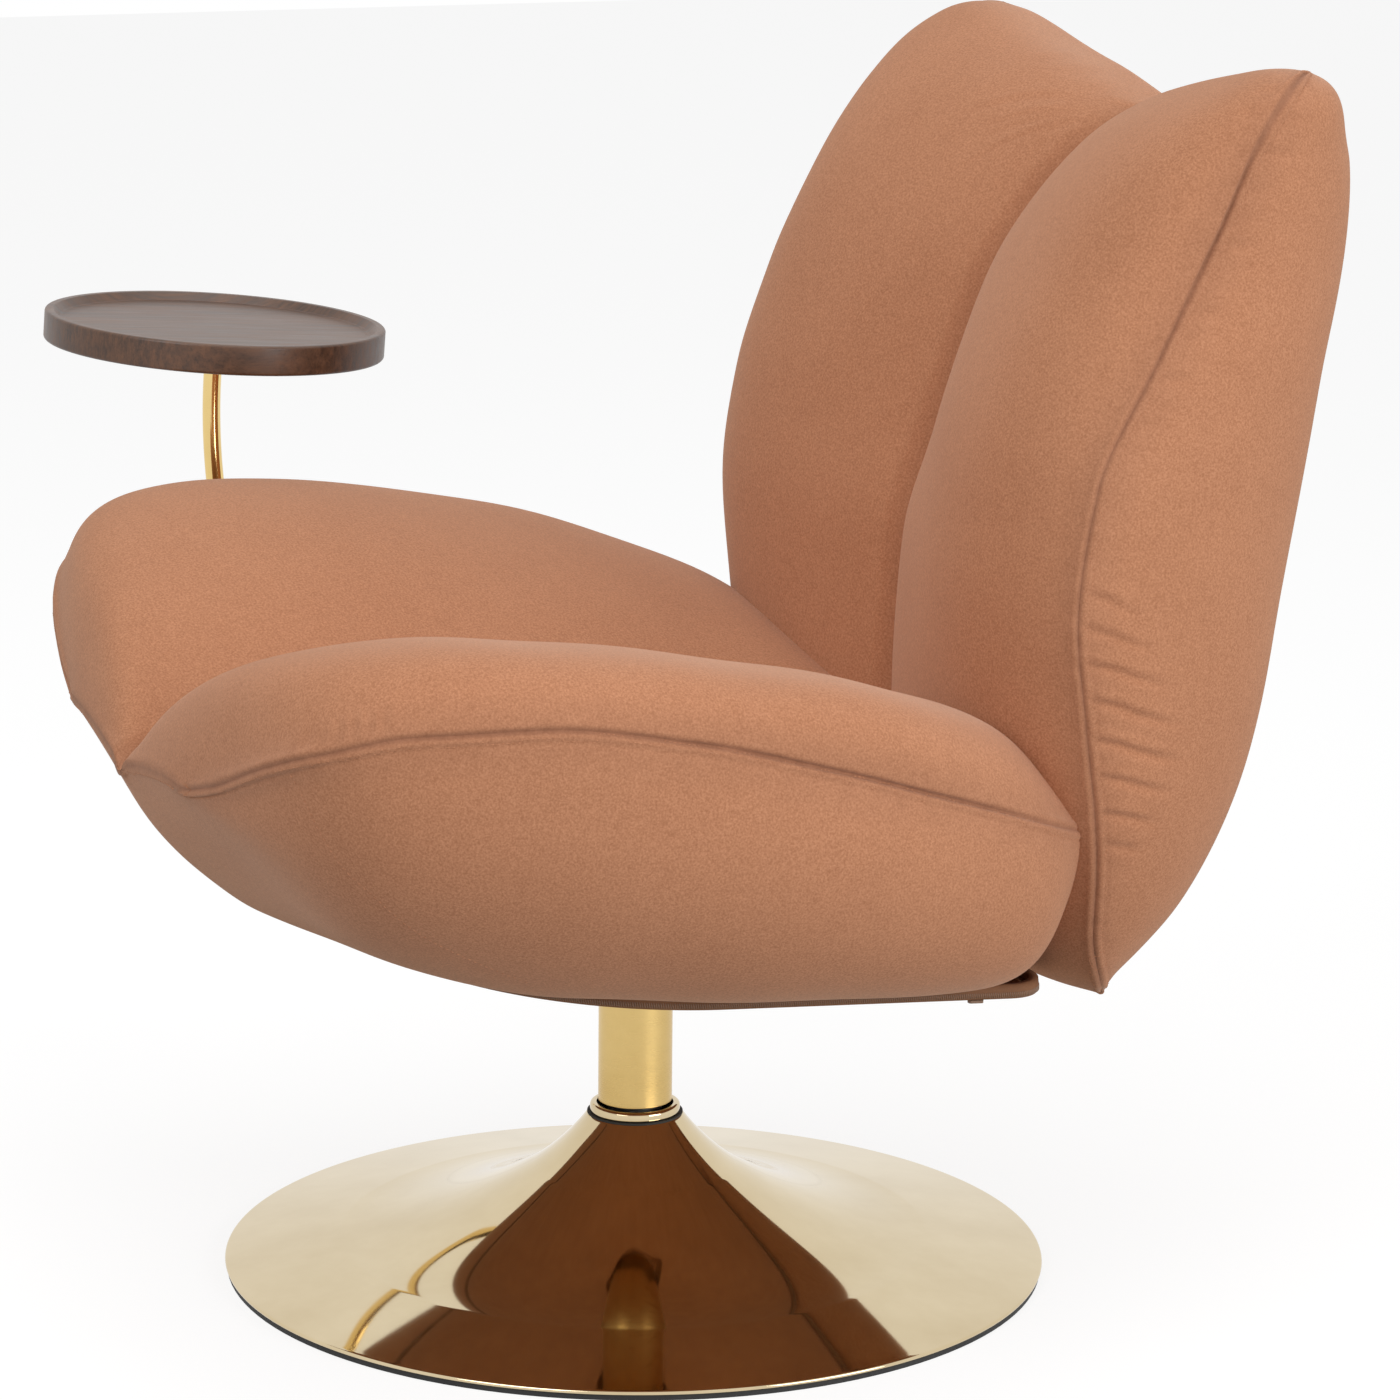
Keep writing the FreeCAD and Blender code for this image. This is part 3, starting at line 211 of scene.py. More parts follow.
CHANNEL_RISE, CREST_RISE, SEAM_RISE, FOOT_RISE = 0.134, 0.277, 0.233, 0.134
SEAT_FOOT_HALF_WIDTH, SEAT_BULGE = 0.28, 0.055
PAN_WIDE, PAN_FRONT, PAN_REAR = 0.253, 0.208, 0.206


def underside(place):
    """The level of the seat's underside, which stops falling ahead of its panel."""
    return SEAT_FOOT_LEVEL - max(place, -PAN_FRONT) * math.tan(SEAT_TILT)


def seat_section(along):
    """Corners of one upright cross section: across and up."""
    place = along * (SEAT_FRONT + SEAT_REAR) - SEAT_FRONT
    reach = SEAT_WIDTH(along) * SEAT_HALF_WIDTH
    foot = underside(place)
    channel = (0.0, SEAT_LEVEL + SEAT_CHANNEL(along) * CHANNEL_RISE)
    crest = (reach * SEAT_CREST_PLACE(along), SEAT_LEVEL + SEAT_CREST(along) * CREST_RISE)
    seam = (reach, SEAT_LEVEL + SEAT_SEAM(along) * SEAM_RISE)
    outer = (SEAT_FOOT_WIDTH(along) * SEAT_FOOT_HALF_WIDTH,
             foot + SEAT_OUTER_FOOT(along) * FOOT_RISE)
    inner = (0.0, foot + SEAT_INNER_FOOT(along) * FOOT_RISE)
    return place, channel, crest, seam, outer, inner, SEAT_SIDE(along) * SEAT_BULGE


# Back form
BACK_INNER = curve((0, 0), (0.905, 0), (0.925, 0.04), (0.9376, 0.1875), (0.954, 0.375),
                   (0.973, 0.547), (0.989, 0.67), (1, 0.72))
BACK_WIDTH = curve((0, 0.69), (0.02, 0.775), (0.065, 0.845), (0.157, 0.925), (0.28, 0.977),
                   (0.446, 0.998), (0.583, 0.985), (0.705, 0.95), (0.826, 0.905), (0.918, 0.908),
                   (0.963, 0.89), (0.986, 0.84), (1, 0.8))
BACK_SEAM = curve((0, 0.612), (0.02, 0.578), (0.096, 0.525), (0.187, 0.505), (0.34, 0.464),
                  (0.446, 0.443), (0.583, 0.475), (0.705, 0.577), (0.826, 0.69), (0.918, 0.76),
                  (0.963, 0.81), (1, 0.87))
BACK_CHANNEL = curve((0, 0.566), (0.02, 0.509), (0.096, 0.464), (0.271, 0.445), (0.461, 0.466),
                     (0.571, 0.525), (0.756, 0.626), (0.842, 0.727), (0.884, 0.798), (0.91, 0.86),
                     (0.93, 0.9), (1, 0.91))
BACK_CREST = curve((0, 0.55), (0.02, 0.488), (0.096, 0.419), (0.187, 0.374), (0.309, 0.36),
                   (0.446, 0.352), (0.583, 0.376), (0.705, 0.432), (0.826, 0.525), (0.903, 0.622),
                   (0.963, 0.735), (0.986, 0.81), (1, 0.875))
BACK_CREST_PLACE = curve((0, 0.6), (0.55, 0.66), (1, 0.87))
BACK_REAR = curve((0, 0.63), (0.02, 0.658), (0.05, 0.69), (0.096, 0.742), (0.202, 0.812),
                  (0.309, 0.852), (0.416, 0.882), (0.507, 0.909), (0.674, 0.953), (0.826, 0.996),
                  (0.903, 0.988), (0.948, 0.965), (0.979, 0.948), (1, 0.935))
BACK_SIDE = curve((0, 0.08), (0.1, 0.62), (0.4, 0.995), (0.85, 0.885), (1, 0.2))
BACK_FOOT, BACK_HEIGHT, BACK_HALF_WIDTH, BACK_DEEP = 0.237, 0.652, 0.32, 0.442
HEEL_SHARE, BACK_BULGE, BACK_SPLIT = 0.78, 0.035, 0.905


def back_section(along):
    """Corners of one level cross section: across and ahead, which is -Y."""
    level = along * BACK_HEIGHT + BACK_FOOT
    inner = BACK_INNER(along) * BACK_HALF_WIDTH
    reach = BACK_WIDTH(along) * BACK_HALF_WIDTH
    channel = (inner, -BACK_CHANNEL(along) * BACK_DEEP)
    crest = (inner + BACK_CREST_PLACE(along) * (reach - inner), -BACK_CREST(along) * BACK_DEEP)
    seam = (reach, -BACK_SEAM(along) * BACK_DEEP)
    rear = -BACK_REAR(along) * BACK_DEEP
    heel = (inner + (reach - inner) * HEEL_SHARE, rear)
    return level, channel, crest, seam, heel, (inner, rear), BACK_SIDE(along) * BACK_BULGE


FACE, SIDE = 0, 1
ACROSS, NEAR_STEPS, FAR_STEPS = 120, 15, 11
NEAR_SPAN, FAR_SPAN, CROWDING = 0.018, 0.02, 1.35


def close_steps(length):
    """Marks of a length, close together over a stretch near each end."""
    near, far = min(NEAR_SPAN, 0.3 * length), min(FAR_SPAN, 0.2 * length)
    rise = np.linspace(0, 1, NEAR_STEPS) ** CROWDING
    fall = 1 - np.linspace(1, 0, FAR_STEPS) ** CROWDING
    middle = np.linspace(near, length - far, ACROSS + 3 - NEAR_STEPS - FAR_STEPS)
    return np.concatenate([rise * near, middle[1:-1], length - far + fall * far])


def panels(section):
    """The two panels of a section: channel to seam, then seam to the inner foot."""
    _, channel, crest, seam, outer, inner, bulge = section
    face = np.vstack([arc(channel, level_arc_middle(channel, crest), crest),
                      arc(crest, level_arc_middle(seam, crest), seam)[1:]])
    side = np.vstack([arc(seam, bulged_middle(seam, outer, bulge), outer), inner])
    face_length, side_length = way_along(face)[-1], way_along(side)[-1]
    return (spots_at(face, face_length - close_steps(face_length)[::-1]),
            spots_at(side, close_steps(side_length)))


PULL = 0.6


class Form:
    """A growing set of grids, welded into one mesh with its mirror image."""

    def __init__(self):
        self.points, self.faces, self.tags, self.count = [], [], [], 0

    def grid(self, rows, tag):
        rows = np.asarray(rows)
        tall, wide = rows.shape[:2]
        corner = self.count + (np.arange(tall - 1)[:, None] * wide + np.arange(wide - 1))
        quads = np.stack([corner, corner + 1, corner + wide + 1, corner + wide], axis=-1)
        self.points.append(rows.reshape(-1, 3))
        self.faces.append(quads.reshape(-1, 4))
        self.tags.append(np.full(tall * wide, tag))
        self.count += tall * wide

    def weld(self):
        points, faces = np.vstack(self.points), np.vstack(self.faces)
        mirrored = points * (-1, 1, 1)
        faces = np.vstack([faces, faces[:, ::-1] + len(points)])
        points = np.vstack([points, mirrored])
        keys = np.round(points / 1e-6).astype(np.int64)
        _, first, back = np.unique(keys, axis=0, return_index=True, return_inverse=True)
        self.points = points[first]
        self.tags = np.tile(np.concatenate(self.tags), 2)[first]
        quads = back.reshape(-1)[faces]
        self.faces = []
        for quad in quads.tolist():
            ring = [spot for place, spot in enumerate(quad) if spot != quad[place - 1]]
            if len(set(ring)) == len(ring) > 2:
                self.faces.append(ring)
        triangles = [(ring[0], ring[step], ring[step + 1]) for ring in self.faces
                     for step in range(1, len(ring) - 1)]
        self.triangles = np.array(triangles)
        edges = {tuple(sorted((ring[step - 1], ring[step]))) for ring in self.faces
                 for step in range(len(ring))}
        self.edges = np.array(sorted(edges))

    def normals(self):
        a, b, c = (self.points[self.triangles[:, corner]] for corner in range(3))
        flat = np.cross(b - a, c - a)
        total = np.zeros_like(self.points)
        for corner in range(3):
            np.add.at(total, self.triangles[:, corner], flat)
        return total / np.maximum(np.linalg.norm(total, axis=1, keepdims=True), 1e-12)

    def smooth(self, weight, rounds):
        """Draw each point towards the middle of its neighbours, as far as its weight lets."""
        first, second = self.edges.T
        degree = np.bincount(self.edges.ravel(), minlength=len(self.points))[:, None]
        count = len(self.points)
        for _ in range(rounds):
            total = np.stack([np.bincount(first, self.points[second, axis], count)
                              + np.bincount(second, self.points[first, axis], count)
                              for axis in range(3)], axis=1)
            self.points += weight[:, None] * PULL * (total / degree - self.points)

    def push(self, amount):
        """Move every point out along the surface by its own amount."""
        self.points += self.normals() * amount[:, None]


def closing(face, side, outward, deep, rings):
    """Rows that close a lobe's end: both panels bend to one line between them."""
    middle = (face + side[::-1]) / 2
    fade = 1 - np.linspace(0, 1, len(face)) ** 4
    rows_face, rows_side = [], []
    for turn in np.linspace(math.pi / 2, 0, rings + 1)[:-1]:
        lift = np.array(outward) * deep * math.sin(turn)
        rows_face.append(middle + (face - middle) * math.cos(turn) + fade[:, None] * lift)
        rows_side.append(middle[::-1] + (side - middle[::-1]) * math.cos(turn)
                         + fade[::-1, None] * lift)
    return rows_face, rows_side


def near_line(points, line):
    """Distance from each point to a line, and which of its spots is the nearest."""
    tree = kdtree.KDTree(len(line))
    for index, spot in enumerate(line):
        tree.insert(spot, index)
    tree.balance()
    found = [tree.find(point) for point in points]
    return np.array([item[2] for item in found]), np.array([item[1] for item in found])


def both_sides(line):
    """A line on the left half, on through the middle to its mirror image."""
    line = np.asarray(line)
    return np.vstack([line[::-1], line * (-1, 1, 1)])


END_STEPS, END_CROWDING = 12, 1.5


def stations(count, low_share, high_share):
    """Shares from 0 to 1, closer together towards both ends."""
    low = np.linspace(0, 1, END_STEPS)[:-1] ** END_CROWDING * low_share
    high = 1 - np.linspace(1, 0, END_STEPS) ** END_CROWDING * high_share
    middle = np.linspace(low_share, 1 - high_share, count + 2 - 2 * END_STEPS)[:-1]
    return np.concatenate([low, middle, high])


def build_seat():
    """The seat's form from cross sections front to rear, and its seam on one side."""
    form = Form()
    face_rows, side_rows, seam = [], [], []
    for along in stations(count=260, low_share=0.03, high_share=0.02):
        section = seat_section(along)
        place = section[0]
        face, side = panels(section)
        face_rows.append(np.insert(face, 1, place, axis=1))
        side_rows.append(np.insert(side, 1, place, axis=1))
        seam.append((section[3][0], place, section[3][1]))
    front = closing(face_rows[0], side_rows[0], (0, -1, 0), deep=0.006, rings=4)
    rear = closing(face_rows[-1], side_rows[-1], (0, 1, 0), deep=0.022, rings=12)
    form.grid(front[0] + face_rows + rear[0][::-1], FACE)
    form.grid(front[1] + side_rows + rear[1][::-1], SIDE)
    nose = front[0][0]
    form.weld()
    return form, np.vstack([nose[:-1], seam])


def build_back():
    """The back's form from level sections foot to top, and its seam on one side."""
    form = Form()
    face_rows, side_rows, wall_rows, seam = [], [], [], []
    between = np.linspace(0, 1, 25)[:, None]
    for along in stations(count=330, low_share=0.03, high_share=0.03):
        section = back_section(along)
        face, side = panels(section)
        level = section[0]

        def lifted(flat):
            return np.stack([flat[:, 0], -flat[:, 1], np.full(len(flat), level)], axis=1)

        face_rows.append(lifted(face))
        side_rows.append(lifted(side))
        wall_rows.append(side_rows[-1][-1] * (1 - between) + face_rows[-1][0] * between)
        seam.append((section[3][0], -section[3][1], level))
    foot = closing(face_rows[0], side_rows[0], (0, 0, -1), deep=0.010, rings=8)
    form.grid(foot[0] + face_rows, FACE)
    form.grid(foot[1] + side_rows, SIDE)
    split = max(index for index, row in enumerate(wall_rows) if row[0][0] < 1e-9)
    form.grid(wall_rows[split:], FACE)
    loop = np.vstack([face_rows[-1], side_rows[-1][1:], wall_rows[-1][1:]])
    centre = loop.mean(axis=0)
    cap_rise = np.array([0, 0, 0.004])
    form.grid([centre + (loop - centre) * math.cos(turn) + cap_rise * math.sin(turn)
               for turn in np.linspace(0, math.pi / 2, 7)], FACE)
    form.weld()
    return form, np.array(seam)


def ease(amount, low, high):
    """0 below low, 1 above high, and a smooth rise between."""
    step = np.clip((amount - low) / (high - low), 0, 1)
    return step * step * (3 - 2 * step)


def bump(distance, middle, width):
    """1 at the middle distance, and a smooth fall to 0 around it."""
    return np.exp(-((distance - middle) / width) ** 2)


WAVES = 7


def lumps(points, size, seed):
    """Soft uneven waves over a surface, between about -1 and 1."""
    chance = np.random.default_rng(seed)
    total = np.zeros(len(points))
    for _ in range(WAVES):
        way = chance.normal(size=3)
        way *= 2 * math.pi / size / np.linalg.norm(way) * chance.uniform(0.6, 1.3)
        total += np.sin(points @ way + chance.uniform(0, 2 * math.pi))
    return total / 4


def creases(form, near, way, side, spots, wide=0.0026):
    """Short folds that run out from a seam: place, length, depth and slant of each."""
    total = np.zeros(len(form.points))
    for place, length, depth, slant in spots:
        across = way - place - slant * near
        fade = ease(near, 0.002, 0.012) * (1 - ease(near, 0.45 * length, length))
        total += depth * fade * (0.7 * bump(across, 1.9 * wide, 1.5 * wide)
                                 - bump(across, 0, wide)
                                 + 0.35 * bump(across, -2.4 * wide, 2 * wide))
    return total * (form.tags == side)


DIP = (0, 0.372, 0.835)
FAN_DEEP = 0.0011


def fan(form):
    """Fine folds that spread over both lobes from the dip between them."""
    aside = form.points - np.array(DIP)
    reach = np.linalg.norm(aside, axis=1)
    turn = np.degrees(np.arctan2(aside[:, 2], np.abs(aside[:, 0]) + 1e-6))
    total = np.zeros(len(form.points))
    for side, start, end, count, far in ((-1, 14, -38, 10, 0.150), (1, 4, -36, 5, 0.070)):
        here = (form.points[:, 0] * side > 0) * (form.tags == FACE)
        for index, way in enumerate(np.linspace(start, end, count)):
            off = np.radians(turn - way - 6 * np.sin(reach * 30)) * reach
            length = far * (0.72 + 0.28 * math.sin(2.4 * index + 1))
            fade = ease(reach, 0.018, 0.045) * (1 - ease(reach, 0.5 * length, length))
            total += here * fade * FAN_DEEP * (0.6 * bump(off, 0.0042, 0.0034)
                                               - bump(off, 0, 0.0026))
    return total


class Surface:
    """A finished soft surface that stitches can be laid on."""

    def __init__(self, form):
        self.tree = BVHTree.FromPolygons([tuple(point) for point in form.points],
                                         form.triangles.tolist())

    def drop(self, spot):
        """The nearest place on the surface, and which way it faces there."""
        place, normal, _, _ = self.tree.find_nearest(Vector(spot))
        return np.array(place), np.array(normal)

    def beside(self, line, offset):
        """A line on the surface that keeps an offset from a seam, to its side panel."""
        line = np.asarray(line)
        along = np.gradient(line, axis=0)
        spots = []
        for spot, way in zip(line, along):
            _, normal = self.drop(spot)
            out = np.cross(way, normal)
            spots.append(self.drop(spot + out / np.linalg.norm(out) * offset)[0])
        return np.array(spots)


THREAD = ((-0.5, 0.25), (-0.38, 0.8), (0, 1), (0.38, 0.8), (0.5, 0.25))
TOOTH = ((-0.5, 0.3), (-0.4, 0.9), (0, 1), (0.4, 0.9), (0.5, 0.3))
BAR_SIDES, THREAD_SINK = 6, 0.00012


def bars(name, spines, outline, thick, capped):
    """One mesh of short bars, each from its middle, its run and two ways across."""
    points, faces = [], []
    for middle, run, side, rise in spines:
        start = len(points)
        for share, girth in outline:
            for step in range(BAR_SIDES):
                turn = 2 * math.pi / BAR_SIDES * step
                points.append(middle + run * share + (side * math.cos(turn)
                                                      + rise * math.sin(turn)) * thick * girth)
        faces += [tuple(start + spot for spot in face)
                  for face in quads(len(outline), BAR_SIDES)]
        if capped:
            faces.append(tuple(range(start + BAR_SIDES - 1, start - 1, -1)))
            faces.append(tuple(range(len(points) - BAR_SIDES, len(points))))
    return add_mesh(name, points, faces)


def stitches(name, surface, line, pitch=0.0034, long=0.0023, thick=0.00042):
    """One mesh of separate threads along a line on a surface and along its mirror image."""
    spines = []
    for side in (1, -1):
        spots = even(line * (side, 1, 1), pitch)
        for spot, way in zip(spots, np.gradient(spots, axis=0)):
            place, normal = surface.drop(spot)
            way = way / np.linalg.norm(way)
            middle = place - normal * THREAD_SINK
            spines.append((middle, way * long, np.cross(normal, way), normal))
    return bars(name, spines, THREAD, thick, True)


def coil(name, line, pitch, reach, thick):
    """The teeth of a coil zip: small rounded bars that stand across a level line."""
    spines = []
    spots = even(line, pitch)
    for spot, way in zip(spots, np.gradient(spots, axis=0)):
        way = way / np.linalg.norm(way)
        outward = np.array((way[1], -way[0], 0))
        spines.append((spot, (np.cross(way, outward) + 0.25 * way) * reach, way, outward))
    return bars(name, spines, TOOTH, thick, False)


# Steps that the seat and the back share
STITCH_GAP, STITCH_HOLLOW = 0.0068, 0.0007
SEAM_DEEP, SEAM_ROLL = 0.0016, 0.0007
SEAM_HELD, CHANNEL_HELD, CHANNEL_HALF = (0.003, 0.014), (0.004, 0.022), 0.020
SEAM_EVEN, CHANNEL_EVEN = (0.01, 0.06), (0.01, 0.05)
SMOOTHING = 100


def settle(form, seam, channel):
    """Smooth a form everywhere but beside its seam and its channel."""
    form.smooth(ease(seam, *SEAM_HELD) * ease(channel, *CHANNEL_HELD), SMOOTHING)


def draw_in(form, channel, way):
    """Pull a form in along its channel."""
    form.points += (1 - ease(channel, 0, CHANNEL_HALF))[:, None] * np.array(way)


def uneven(form, seam, channel, deep, size, seed):
    """Push soft waves into a form, which fade out towards its seams."""
    form.push(deep * lumps(form.points, size, seed) * ease(seam, *SEAM_EVEN)
              * ease(channel, *CHANNEL_EVEN))


def sew(form, seam):
    """Push in a seam's groove, its rolled edges and the hollow under its topstitch."""
    form.push(-SEAM_DEEP * bump(seam, 0, 0.0016) + SEAM_ROLL * bump(seam, 0.0040, 0.0022)
              - STITCH_HOLLOW * bump(seam, STITCH_GAP, 0.0011) * (form.tags == SIDE))


# Seat cushion
seat_form, seat_seam = build_seat()
seat_channel = [(0, seat_section(share)[0], seat_section(share)[1][1])
                for share in np.linspace(0, 1, 200)]
seat_seam_line = dense(both_sides(seat_seam))
seat_seam_near, seam_spot = near_line(seat_form.points, seat_seam_line)
seat_channel_near = near_line(seat_form.points, dense(seat_channel))[0]
settle(seat_form, seat_seam_near, seat_channel_near)
draw_in(seat_form, seat_channel_near, (0, 0, -0.010))
uneven(seat_form, seat_seam_near, seat_channel_near, deep=0.0012, size=0.16, seed=SEED)
GATHER_LONG, GATHER_DEEP = 0.026, 0.0014
gathers = [(place, GATHER_LONG, GATHER_DEEP, slant) for place, slant in (
    (-0.346, 0.5), (-0.338, 0.4), (-0.329, 0.35), (-0.320, 0.3), (-0.311, 0.3), (-0.302, 0.2))]
seat_form.push(creases(seat_form, seat_seam_near, seat_seam_line[seam_spot][:, 1], FACE, gathers))
sew(seat_form, seat_seam_near)
seat = add_mesh("seat_upholstery", seat_form.points, seat_form.faces)
seat_surface = Surface(seat_form)

# Back cushion
back_form, back_seam = build_back()
back_channel = [(0, -back_section(share)[1][1], back_section(share)[0])
                for share in np.linspace(0, BACK_SPLIT, 200)]
back_seam_line = dense(back_seam)
back_seam_near, seam_spot = near_line(np.abs(back_form.points), back_seam_line)
seam_level = back_seam_line[seam_spot][:, 2]
back_channel_near = near_line(back_form.points, dense(back_channel))[0]
seam_corners = near_line(back_seam, back_form.points)[1]
settle(back_form, back_seam_near, back_channel_near)

# The tops of its lobes: rounded over, lifted, and lower at the rear
TOP_SMOOTHING, LOBE_LIFT, REAR_DROP = 130, 0.012, 0.020
back_form.smooth(ease(back_form.points[:, 2], 0.815, 0.865), TOP_SMOOTHING)
rear_top = ease(back_form.points[:, 1], 0.345, 0.425) * ease(back_form.points[:, 2], 0.80, 0.885)
lobe_top = ease(back_form.points[:, 2], 0.72, 0.86)
lobe_top *= 0.4 + 0.6 * ease(np.abs(back_form.points[:, 0]), 0.02, 0.12)
back_form.points[:, 2] += LOBE_LIFT * lobe_top - REAR_DROP * rear_top
draw_in(back_form, back_channel_near, (0, 0.01164, -0.0024))
uneven(back_form, back_seam_near, back_channel_near, deep=0.0014, size=0.18, seed=SEED + 1)
folds = (
    (0.852, 0.022, 0.0010, 0.3), (0.829, 0.030, 0.0013, 0.3), (0.806, 0.022, 0.0009, 0.3),
    (0.773, 0.030, 0.0013, 0.35), (0.733, 0.026, 0.0011, 0.35), (0.691, 0.030, 0.0014, 0.3),
    (0.662, 0.020, 0.0008, 0.3), (0.552, 0.048, 0.0018, -0.45), (0.528, 0.062, 0.0020, -0.5),
    (0.502, 0.070, 0.0024, -0.5), (0.476, 0.080, 0.0024, -0.5), (0.448, 0.078, 0.0026, -0.5),
    (0.421, 0.066, 0.0022, -0.45), (0.394, 0.052, 0.0020, -0.4), (0.371, 0.036, 0.0014, -0.4))
front_folds = ((0.848, 0.024, 0.0010, -0.3), (0.862, 0.020, 0.0009, -0.3))
back_form.push(creases(back_form, back_seam_near, seam_level, SIDE, folds, 0.0034))
back_form.push(creases(back_form, back_seam_near, seam_level, FACE, front_folds, 0.0030))
back_form.push(fan(back_form))
sew(back_form, back_seam_near)
back = add_mesh("back_upholstery", back_form.points, back_form.faces)
back_surface = Surface(back_form)

# Topstitching beside the seams
seat_line = seat_surface.beside(dense(seat_seam, 0.003), STITCH_GAP)
back_line = back_surface.beside(dense(back_form.points[seam_corners], 0.003), STITCH_GAP)
seat_thread = stitches("seat_topstitch", seat_surface, seat_line)
back_thread = stitches("back_topstitch", back_surface, back_line)

# Seams that join the front of the underside to the seat's sides
under_run = np.array([(0.2984, -0.351, 0.4640), (0.3052, -0.342, 0.4385),
                      (0.3090, -0.3209, 0.4007), (0.3142, -0.2969, 0.3768),
                      (0.3100, -0.2639, 0.347), (0.3035, -0.2248, 0.3237),
                      (0.2960, -0.1858, 0.3052)])
ends = np.linspace(0, 1, len(under_run))
under_line = np.stack([[curve(*zip(ends, under_run[:, axis]))(share)
                        for share in np.linspace(0, 1, 60)] for axis in range(3)], axis=1)
under_thread = stitches("under_seam_stitch", seat_surface, under_line,
                        pitch=0.0048, long=0.0028, thick=0.0005)

# Measures that the hard pieces share with the frame
MAT_TOP = 0.004
FLARE_TOP, COLLAR_FOOT, COLLAR_TOP, SLEEVE_FOOT = 0.112, 0.1132, 0.1202, 0.1217
COLUMN_RADIUS, COLUMN_BORE, COLLAR_RADIUS, COLLAR_BORE = 0.027, 0.0245, 0.033, 0.028
PLATE_LEVEL = 0.269
TUBE_RADIUS, HUB_GAP = 0.007, 0.0145
RIM_RADIUS, RIM_TOP, RIM_ROUND = 0.2985, 0.0070, 0.0015
SLOPE_END, KNEE = (0.215, 0.021), (0.075, 0.072)


def corner(middle, radius, first, last, count=9):
    """Points of a rounded corner in a turned outline, between two angles in degrees."""
    return [(middle[0] + radius * math.cos(math.radians(turn)),
             middle[1] + radius * math.sin(math.radians(turn)))
            for turn in np.linspace(first, last, count)]


def flare_outline():
    """The trumpet's line from the rim's foot up to the crown and over its lip."""
    lower = arc(SLOPE_END, (0.133, 0.0415), KNEE, 70)
    upper = arc(KNEE, (0.053, 0.091), (0.035, FLARE_TOP), 50)
    rim = [(RIM_RADIUS - 0.0003, MAT_TOP), (RIM_RADIUS + 0.0009, MAT_TOP)]
    rim += corner((RIM_RADIUS, MAT_TOP + RIM_ROUND), RIM_ROUND, 0, 80)
    slope = [(RIM_RADIUS + (SLOPE_END[0] - RIM_RADIUS) * share,
              RIM_TOP + (SLOPE_END[1] - RIM_TOP) * share) for share in np.linspace(0.02, 0.98, 24)]
    return rim + slope + lower.tolist() + upper[1:].tolist() + [(0.0335, FLARE_TOP)]


def closed_outline(spots):
    """An outline that comes back to its first spot."""
    return list(spots) + [spots[0]]


# Base, collar and column
FOOT_ROUND, CROWN_ROUND, BORE_ROUND, SLEEVE_ROUND = 0.0012, 0.0026, 0.0008, 0.0006
flare = turned("base_flare", flare_outline(), steps=320)
collar = turned("collar_ring", closed_outline(
    corner((COLLAR_RADIUS - FOOT_ROUND, COLLAR_FOOT + FOOT_ROUND), FOOT_ROUND, -90, 0)
    + corner((COLLAR_RADIUS - CROWN_ROUND, COLLAR_TOP - CROWN_ROUND), CROWN_ROUND, 0, 90)
    + corner((COLLAR_BORE + BORE_ROUND, COLLAR_TOP - BORE_ROUND), BORE_ROUND, 90, 180)
    + [(COLLAR_BORE, COLLAR_FOOT)]), steps=192)
column = turned("column_tube", closed_outline(
    [(COLUMN_BORE, SLEEVE_FOOT)]
    + corner((COLUMN_RADIUS - SLEEVE_ROUND, SLEEVE_FOOT + SLEEVE_ROUND), SLEEVE_ROUND, -90, 0)
    + [(COLUMN_RADIUS, level) for level in np.linspace(SLEEVE_FOOT + 0.002, PLATE_LEVEL, 20)]
    + [(COLUMN_BORE, PLATE_LEVEL)]), steps=192)

# Tray arm: the frame's own bends, swept finely
ARM_HEADING, ARM_ROLL = math.radians(40.15), math.radians(2.31)
ARM_STEEP, TOP_LEAN = math.radians(24), math.radians(3.23)
LOWER_BEND, UPPER_BEND, ARM_STRAIGHT, ARM_REACH, TIP_RISE = 0.196, 0.440, 0.041, 0.3543, 0.016
PIVOT = Vector((-0.192, 0.0375, 0.236))
INWARD = Vector((math.cos(ARM_HEADING), math.sin(ARM_HEADING), 0))
SIDEWAYS = Vector((-math.sin(ARM_HEADING), math.cos(ARM_HEADING), 0))
ARM_UP = Vector((0, 0, 1)) * math.cos(ARM_ROLL) + SIDEWAYS * math.sin(ARM_ROLL)
TIP_UP = INWARD * math.sin(TOP_LEAN) + ARM_UP * math.cos(TOP_LEAN)


def arm_line():
    """The tube's centre line, from the hub to the tray."""
    run_low, run_mid = LOWER_BEND * math.cos(ARM_STEEP), ARM_STRAIGHT * math.sin(ARM_STEEP)
    run_high = UPPER_BEND * (math.cos(TOP_LEAN) - math.cos(ARM_STEEP))
    run = run_high + run_mid + run_low
    rise_mid = LOWER_BEND * (1 - math.sin(ARM_STEEP)) + ARM_STRAIGHT * math.cos(ARM_STEEP)
    rise_top = rise_mid + UPPER_BEND * (math.sin(ARM_STEEP) + math.sin(TOP_LEAN))
    flat = [(run + step, 0) for step in np.linspace(ARM_REACH - HUB_GAP - run, 0, 12)]
    for turn in np.linspace(math.pi / 2, ARM_STEEP, 90)[1:]:
        flat.append((run - LOWER_BEND * math.cos(turn), LOWER_BEND * (1 - math.sin(turn))))
    for turn in np.linspace(ARM_STEEP, -TOP_LEAN, 90):
        flat.append((UPPER_BEND * (math.cos(TOP_LEAN) - math.cos(turn)),
                     rise_top - UPPER_BEND * (math.sin(TOP_LEAN) + math.sin(turn))))
    spots = [PIVOT - INWARD * (ARM_REACH - across) + ARM_UP * rise for across, rise in flat]
    return spots + [spots[-1] + TIP_UP * TIP_RISE * share for share in (0.5, 1.0)]


